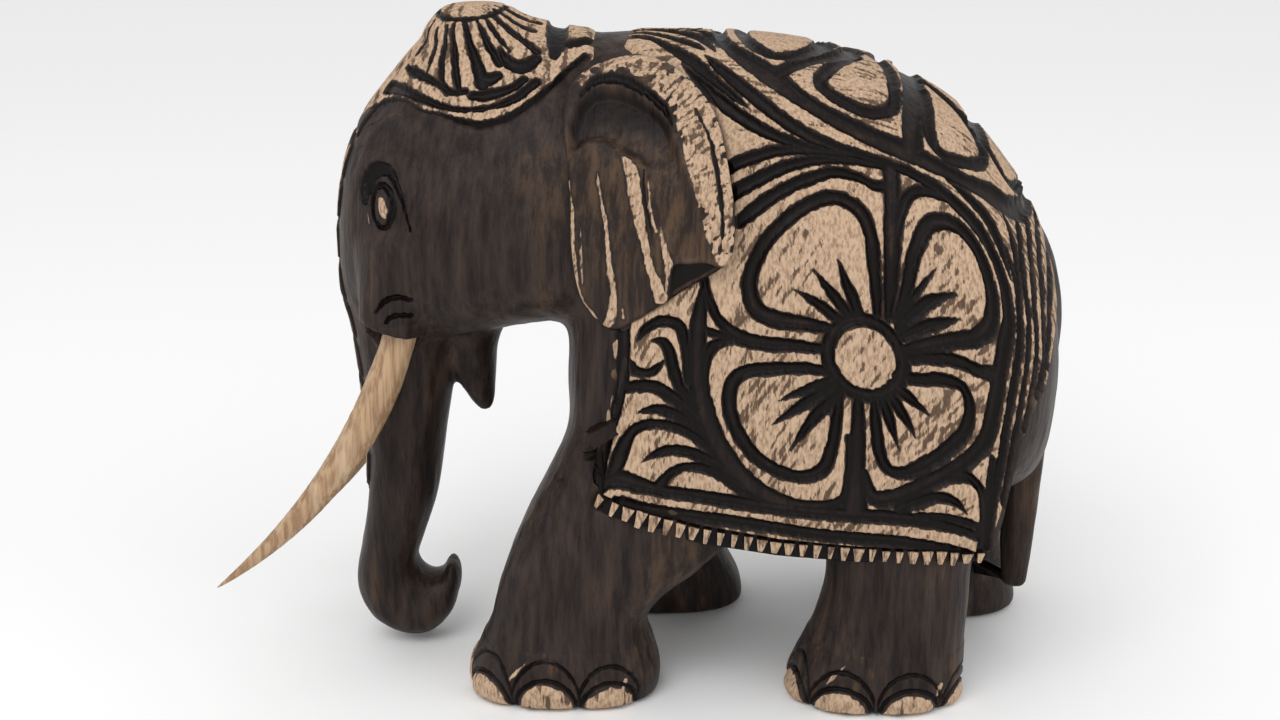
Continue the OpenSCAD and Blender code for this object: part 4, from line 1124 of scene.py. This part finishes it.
# groove is the near-black colour of the cuts, and also of the painted shadow under the ear
finish = {"groove": (14, 8, 8), "stain": (60, 49, 44), "deepStain": (28, 22, 21), "warmStain": (86, 66, 49),
          "pale": (190, 163, 137), "palePores": (146, 119, 96), "residue": (66, 49, 38),
          "tusk": (180, 149, 114), "tuskGrain": (138, 106, 76), "tuskPale": (202, 180, 154)}
paint = {name: colour(*rgb) for name, rgb in finish.items()}
# bump height, in metres, and its strength; roughness of the stained and of the sanded wood
woodSurface = {"bump": 0.0007, "strength": 0.6, "gloss": 0.13, "stained": 0.42, "sanded": 0.8,
               "fibreTurn": -28}
tuskSurface = {"bump": 0.0003, "strength": 0.35, "roughness": 0.5, "grainTurn": -38}


def newMaterial(name):
    mat = bpy.data.materials.new(name)
    mat.use_nodes = True
    mat.node_tree.nodes.clear()
    return mat, mat.node_tree


def finishMaterial(tree, height, surface, inputs):
    bump = addNode(tree, "ShaderNodeBump",
                   {"Height": height, "Strength": surface["strength"], "Distance": surface["bump"]})
    bsdf = addNode(tree, "ShaderNodeBsdfPrincipled", dict(inputs, Normal=bump.outputs["Normal"]))
    addNode(tree, "ShaderNodeOutputMaterial", {"Surface": bsdf.outputs[0]})


def makeCarvedWood():   # dark stained wood, sanded back to pale where the pieces' own attributes say so
    mat, t = newMaterial("stained_carved_wood")
    xyz = addNode(t, "ShaderNodeTexCoord").outputs["Object"]
    fine = noiseNode(t, xyz, 1400, 3, 0.6, (1, 1, 0.35))
    medium = noiseNode(t, xyz, 420, 4, 0.6, (1, 1, 0.3))
    broad = noiseNode(t, xyz, 60, 3, 0.5, (1, 1, 0.35))
    streaks = noiseNode(t, xyz, 330, 5, 0.7, (1, 1, 0.13))
    fibres = noiseNode(t, xyz, 1100, 3, 0.6, (1, 1, 0.16), (0, math.radians(woodSurface["fibreTurn"]), 0))
    read = lambda key: addNode(t, "ShaderNodeAttribute", attribute_name=key).outputs["Fac"]
    pale, cutDarkAndPaintedLight, rub = read("pale"), read("cutDarkAndPaintedLight"), read("rub")
    times = lambda a, b: mathNode(t, "MULTIPLY", a, b)
    plus = lambda a, b: mathNode(t, "ADD", a, b)
    aboveHalf = lambda a: mathNode(t, "SUBTRACT", a, 0.5)
    # stain, browner where it is rubbed, and near black in the cuts and in the painted shadow under the ear
    stain = mixNode(t, rampNode(t, streaks, 0.3, 0.74), paint["deepStain"], paint["stain"])
    brown = plus(broad, times(aboveHalf(rub), 0.5))
    warm = times(rampNode(t, brown, 0.48, 0.72), rampNode(t, streaks, 0.4, 0.66, (0.1, 0.8)))
    stain = mixNode(t, warm, stain, paint["warmStain"])
    # the near-black cut colour also paints the shadow under the ear, and is eased on the floors of wide
    # blanket cuts as a painted highlight
    stain = mixNode(t, cutDarkAndPaintedLight, stain, paint["groove"])
    # sanded wood, with dark residue left in its fibres
    sanded = mixNode(t, rampNode(t, fine, 0.3, 0.62), paint["palePores"], paint["pale"])
    dirty = plus(times(rub, 0.55), times(fibres, 0.75))
    sanded = mixNode(t, rampNode(t, dirty, 0.66, 0.8, (0.0, 0.86)), sanded, paint["residue"])
    bare = rampNode(t, plus(pale, times(aboveHalf(medium), 1.1)), 0.02, 0.3)
    finishMaterial(t, plus(times(medium, 0.7), times(streaks, 0.8)), woodSurface, {
        "Base Color": mixNode(t, bare, stain, sanded), "Specular IOR Level": woodSurface["gloss"],
        "Roughness": rampNode(t, bare, 0.0, 1.0, (woodSurface["stained"], woodSurface["sanded"]))})
    return mat


def makeTuskWood():   # pale wood with its grain along the tusk
    mat, t = newMaterial("bare_tusk_wood")
    xyz = addNode(t, "ShaderNodeTexCoord").outputs["Object"]
    lean = (0, math.radians(tuskSurface["grainTurn"]), 0)
    lines = noiseNode(t, xyz, 900, 3, 0.6, (1, 1, 0.04), lean)
    bands = noiseNode(t, xyz, 210, 3, 0.5, (1, 1, 0.05), lean)
    wood = mixNode(t, rampNode(t, lines, 0.36, 0.66), paint["tuskGrain"], paint["tusk"])
    wood = mixNode(t, rampNode(t, bands, 0.5, 0.8, (0.0, 0.6)), wood, paint["tuskPale"])
    finishMaterial(t, lines, tuskSurface, {"Base Color": wood, "Roughness": tuskSurface["roughness"]})
    return mat


carvedWood, tuskWood = makeCarvedWood(), makeTuskWood()
print("materials made")


def newTree(name, sizes):   # a Geometry Nodes tree with a geometry input and one named input for each size
    tree = bpy.data.node_groups.new(name, "GeometryNodeTree")
    tree.interface.new_socket("Geometry", in_out="INPUT", socket_type="NodeSocketGeometry")
    for key, value in sizes.items():
        kind = "NodeSocketInt" if isinstance(value, int) else "NodeSocketFloat"
        kind = "NodeSocketVector" if isinstance(value, tuple) else kind
        kind = "NodeSocketMaterial" if isinstance(value, bpy.types.Material) else kind
        tree.interface.new_socket(key, in_out="INPUT", socket_type=kind)
    tree.interface.new_socket("Geometry", in_out="OUTPUT", socket_type="NodeSocketGeometry")
    return tree, addNode(tree, "NodeGroupInput").outputs, addNode(tree, "NodeGroupOutput")


def closeTree(tree, geometry, material, end):
    real = addNode(tree, "GeometryNodeRealizeInstances", {0: geometry})
    painted = addNode(tree, "GeometryNodeSetMaterial", {"Geometry": real.outputs[0], "Material": material})
    tree.links.new(painted.outputs[0], end.inputs["Geometry"])


def plainPiece(name, source, tree, sizes):   # evaluates the tree on an object and keeps its result as a mesh
    modifier = source.modifiers.new("nodes", "NODES")
    modifier.node_group = tree
    sockets = {item.name: item.identifier for item in tree.interface.items_tree if item.in_out == "INPUT"}
    for key, value in sizes.items():
        modifier[sockets[key]] = value
    graph = bpy.context.evaluated_depsgraph_get()
    mesh = bpy.data.meshes.new_from_object(source.evaluated_get(graph))
    source.modifiers.remove(modifier)
    bpy.data.objects.remove(source)
    mesh.name = name
    print(name, len(mesh.polygons), "faces")
    return newObject(name, mesh)


fringeShape = {"Spacing": 0.00335, "Tooth Width": 0.0021, "Tooth Height": 0.0042, "Tooth Thickness": 0.0032,
               "Taper": 0.35, "Seed": 7}
# least and most that a tooth is scaled by, each way; how much shorter the last one is than the first
toothVaries = {"least": (0.5, 0.96, 0.78), "most": (1.25, 1.0, 1.06), "shortens": 0.25}


def fringeTree():   # flat tapered teeth along a line, facing the way that each place on the line says
    tree, size, end = newTree("fringe_teeth", dict(fringeShape, Material=carvedWood))
    calc = lambda operation, a, b: mathNode(tree, operation, a, b)
    box = addNode(tree, "ShaderNodeCombineXYZ",
                  {"X": size["Tooth Width"], "Y": size["Tooth Thickness"], "Z": size["Tooth Height"]})
    tooth = addNode(tree, "GeometryNodeMeshCube",
                    {"Size": box.outputs[0], "Vertices X": 4, "Vertices Y": 4, "Vertices Z": 6})
    place = addNode(tree, "GeometryNodeInputPosition")
    part = addNode(tree, "ShaderNodeSeparateXYZ", {0: place.outputs[0]}).outputs
    up = calc("DIVIDE", part["Z"], size["Tooth Height"])
    wide = calc("ADD", calc("MULTIPLY", calc("SUBTRACT", size["Taper"], 1.0), up), 0.82)
    moved = addNode(tree, "ShaderNodeCombineXYZ",
                    {"X": calc("MULTIPLY", part["X"], wide), "Y": part["Y"], "Z": part["Z"]})
    shaped = addNode(tree, "GeometryNodeSetPosition", {"Geometry": tooth.outputs["Mesh"],
                                                       "Position": moved.outputs[0]})
    front = calc("DIVIDE", part["Y"], size["Tooth Thickness"])
    last = shaped.outputs["Geometry"]
    facePale = calc("ADD", calc("MULTIPLY", front, 3.0), -0.9)
    for key, value in (("pale", facePale), ("cutDarkAndPaintedLight", 0.7), ("rub", 0.56)):
        kept = addNode(tree, "GeometryNodeStoreNamedAttribute",
                       {"Name": key, "Geometry": last, "Value": value}, data_type="FLOAT", domain="POINT")
        last = kept.outputs["Geometry"]
    # places along the line, each turned outward and along it
    path = addNode(tree, "GeometryNodeMeshToCurve", {"Mesh": size["Geometry"]})
    spaced = addNode(tree, "GeometryNodeResampleCurve",
                     {"Curve": path.outputs["Curve"], "Length": size["Spacing"]}, mode="LENGTH")
    outward = addNode(tree, "GeometryNodeInputNamedAttribute", {"Name": "outward"}, data_type="FLOAT_VECTOR")
    faceOut = addNode(tree, "FunctionNodeAlignRotationToVector", {"Vector": outward.outputs[0]}, axis="Y")
    along = addNode(tree, "GeometryNodeInputTangent")
    turned = addNode(tree, "FunctionNodeAlignRotationToVector",
                     {"Rotation": faceOut.outputs[0], "Vector": along.outputs[0]}, axis="X", pivot_axis="Y")
    limits = {0: toothVaries["least"], 1: toothVaries["most"], "Seed": size["Seed"]}
    vary = addNode(tree, "FunctionNodeRandomValue", limits, data_type="FLOAT_VECTOR")
    share = addNode(tree, "GeometryNodeSplineParameter").outputs["Factor"]
    less = calc("SUBTRACT", 1.0, calc("MULTIPLY", share, toothVaries["shortens"]))
    tall = addNode(tree, "ShaderNodeCombineXYZ", {"X": 1.0, "Y": 1.0, "Z": less})
    scale = addNode(tree, "ShaderNodeVectorMath", {0: vary.outputs[0], 1: tall.outputs[0]},
                    operation="MULTIPLY")
    teeth = addNode(tree, "GeometryNodeInstanceOnPoints", {
        "Points": spaced.outputs["Curve"], "Instance": last, "Rotation": turned.outputs[0],
        "Scale": scale.outputs[0]})
    closeTree(tree, teeth.outputs[0], size["Material"], end)
    return tree


def fringePath(flip):   # the line as loose edges, with the way that each place faces
    points, outward = fringeLine
    mesh = bpy.data.meshes.new("fringe_path")
    mesh.from_pydata([tuple(p) for p in points * flip / 1000.0],
                     [(k, k + 1) for k in range(len(points) - 1)], [])
    a = mesh.attributes.new("outward", "FLOAT_VECTOR", "POINT")
    a.data.foreach_set("vector", (outward * flip).astype(np.float32).ravel())
    return newObject("fringe_path", mesh)


toothTree = fringeTree()
fringes = [plainPiece(name, fringePath(np.array(flip)), toothTree, dict(fringeShape, Material=carvedWood))
           for name, flip in (("fringe_left", (1, 1, 1)), ("fringe_right", (1, -1, 1)))]

tuskShape = {"Start": (0.0, 0.0, 0.0), "Middle": (-0.012, -0.002, -0.0414), "End": (-0.05, -0.004, -0.069),
             "Depth": 0.0092, "Width": 0.0076, "Root Waist": 0.08, "Swell End": 0.16, "Taper": 0.8,
             "Tenon Radius": 0.0025, "Tenon Length": 0.0152, "Tenon Place": 0.0044}
tuskDetail = {"rings": 220, "sides": 72, "tenonSides": 48, "tipAt": 0.992, "unevenness": 0.05}


# thickness along the tusk: waisted at the root, a swell, then a long taper to the tip
def tuskSize(tree, size):
    calc = lambda operation, a, b=None: mathNode(tree, operation, a, b)
    index = addNode(tree, "GeometryNodeInputIndex").outputs[0]
    t = calc("DIVIDE", index, tuskDetail["rings"] / tuskDetail["tipAt"])
    swell = calc("COSINE", calc("MULTIPLY", calc("DIVIDE", t, size["Swell End"]), math.pi / 2))
    root = calc("SUBTRACT", 1.0, calc("MULTIPLY", swell, size["Root Waist"]))
    rest = calc("DIVIDE", calc("SUBTRACT", t, size["Swell End"]), calc("SUBTRACT", 1.0, size["Swell End"]))
    slim = calc("MAXIMUM", calc("COSINE", calc("MULTIPLY", rest, math.pi / 2)), 0.0005)
    slim = calc("POWER", slim, size["Taper"])
    past = calc("GREATER_THAN", t, size["Swell End"])
    thick = calc("ADD", calc("MULTIPLY", past, slim), calc("MULTIPLY", calc("SUBTRACT", 1.0, past), root))
    facets = addNode(tree, "ShaderNodeTexNoise", {"W": calc("MULTIPLY", t, 9.0)}, noise_dimensions="1D")
    uneven = calc("MULTIPLY", facets.outputs["Fac"], tuskDetail["unevenness"])
    return calc("MULTIPLY", thick, calc("ADD", uneven, 0.965))


def tuskTree():   # a bent horn with an oval section, and its round tenon
    none = (0.0, 0.0, 0.0)
    extra = {"Seat": none, "Turn": none, "Tenon Turn": none, "Material": tuskWood}
    tree, size, end = newTree("bent_tusk", dict(tuskShape, **extra))
    bend = addNode(tree, "GeometryNodeCurveQuadraticBezier", {
        "Resolution": tuskDetail["rings"], "Start": size["Start"], "Middle": size["Middle"],
        "End": size["End"]})
    upright = addNode(tree, "GeometryNodeSetCurveNormal",
                      {"Normal": (0.0, 1.0, 0.0), "Curve": bend.outputs["Curve"]}, mode="FREE")
    ring = addNode(tree, "GeometryNodeCurvePrimitiveCircle", {"Resolution": tuskDetail["sides"],
                                                              "Radius": 1.0})
    halfWidth = mathNode(tree, "MULTIPLY", size["Width"], 0.5)
    halfDepth = mathNode(tree, "MULTIPLY", size["Depth"], 0.5)
    spread = addNode(tree, "ShaderNodeCombineXYZ", {"X": halfWidth, "Y": halfDepth, "Z": 1.0})
    oval = addNode(tree, "GeometryNodeTransform", {"Geometry": ring.outputs["Curve"],
                                                   "Scale": spread.outputs[0]})
    sweep = addNode(tree, "GeometryNodeCurveToMesh", {
        "Curve": upright.outputs["Curve"], "Profile Curve": oval.outputs["Geometry"],
        "Scale": tuskSize(tree, size), "Fill Caps": True})
    smooth = addNode(tree, "GeometryNodeSetShadeSmooth", {0: sweep.outputs["Mesh"]})
    horn = addNode(tree, "GeometryNodeTransform", {"Geometry": smooth.outputs[0], "Rotation": size["Turn"]})
    peg = addNode(tree, "GeometryNodeMeshCylinder", {
        "Vertices": tuskDetail["tenonSides"], "Radius": size["Tenon Radius"], "Depth": size["Tenon Length"]})
    lift = addNode(tree, "ShaderNodeCombineXYZ", {"Z": size["Tenon Place"]})
    raised = addNode(tree, "GeometryNodeTransform", {"Geometry": peg.outputs["Mesh"],
                                                     "Translation": lift.outputs[0]})
    tenon = addNode(tree, "GeometryNodeTransform", {"Geometry": raised.outputs[0],
                                                    "Rotation": size["Tenon Turn"]})
    both = addNode(tree, "GeometryNodeJoinGeometry", {0: horn.outputs[0]})
    tree.links.new(tenon.outputs[0], both.inputs[0])
    seated = addNode(tree, "GeometryNodeTransform", {"Geometry": both.outputs[0],
                                                     "Translation": size["Seat"]})
    closeTree(tree, seated.outputs[0], size["Material"], end)
    return tree


def buildTusk(side, tree):
    seat = seatFrame(side)[0]
    turn = math.radians(-tuskSeat["rightTurn"]) if side > 0 else 0.0
    tilt = math.radians(tuskSeat["tilt"]) + turn
    flip = lambda v: (v[0], -side * v[1], v[2])
    # the root starts a fifth of a millimetre off its seat
    first = np.array([-12.0, 0, -41.4]) / math.hypot(12, 41.4) * 0.0002
    sizes = dict(tuskShape, Start=tuple(float(v) for v in first), Middle=flip(tuskShape["Middle"]),
                 End=flip(tuskShape["End"]), Seat=tuple(float(v) for v in seat / 1000.0),
                 Turn=(0.0, turn, 0.0),
                 Material=tuskWood)
    sizes["Tenon Turn"] = (0.0, tilt, 0.0)
    source = newObject("tusk_source", bpy.data.meshes.new("tusk_source"))
    return plainPiece("left_bent_tusk" if side < 0 else "right_bent_tusk", source, tree, sizes)


def dress(obj, material, body, node):   # its material, the body it rides on and the node it stands for
    obj.data.materials.clear()
    obj.data.materials.append(material)
    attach(obj, body)
    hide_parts(node)


bentTusk = tuskTree()
for side, node in ((-1, "left_tusk"), (1, "right_tusk")):
    dress(buildTusk(side, bentTusk), tuskWood, node, node)
bodyPieces = skinPieces + blankets + carvings + fringes
for piece in bodyPieces:
    dress(piece, carvedWood, "body", "carved_body")
print("pieces dressed:", len(bodyPieces) + 2)

# each lamp: place, size, power
studio = {"floor": 6.0, "pale": (0.93, 0.93, 0.93, 1), "rough": 0.8, "world": 0.85, "aim": (0, 0, 0.08),
          "lamps": {"key": ((-0.35, -0.75, 0.95), 0.7, 5.0), "fill": ((0.9, -0.4, 0.5), 0.8, 2.0)}}


def buildStudio():
    mesh = bpy.data.meshes.new("floor")
    s = studio["floor"] / 2
    mesh.from_pydata([(-s, -s, 0), (s, -s, 0), (s, s, 0), (-s, s, 0)], [], [(0, 1, 2, 3)])
    mat = bpy.data.materials.new("pale_floor")
    mat.use_nodes = True
    shader = mat.node_tree.nodes["Principled BSDF"]
    shader.inputs["Base Color"].default_value = studio["pale"]
    shader.inputs["Roughness"].default_value = studio["rough"]
    mesh.materials.append(mat)
    newObject("floor", mesh)
    world = bpy.data.worlds.new("studio")
    world.use_nodes = True
    sky = world.node_tree.nodes["Background"].inputs
    sky["Color"].default_value = (1, 1, 1, 1)
    sky["Strength"].default_value = studio["world"]
    bpy.context.scene.world = world
    for name, (place, size, power) in studio["lamps"].items():
        light = bpy.data.lights.new(name, "AREA")
        light.size = size
        light.energy = power
        lamp = newObject(name, light)
        lamp.location = place
        lamp.rotation_euler = (Vector(studio["aim"]) - Vector(place)).to_track_quat("-Z", "Y").to_euler()
    bpy.context.scene.view_settings.view_transform = "Standard"


buildStudio()
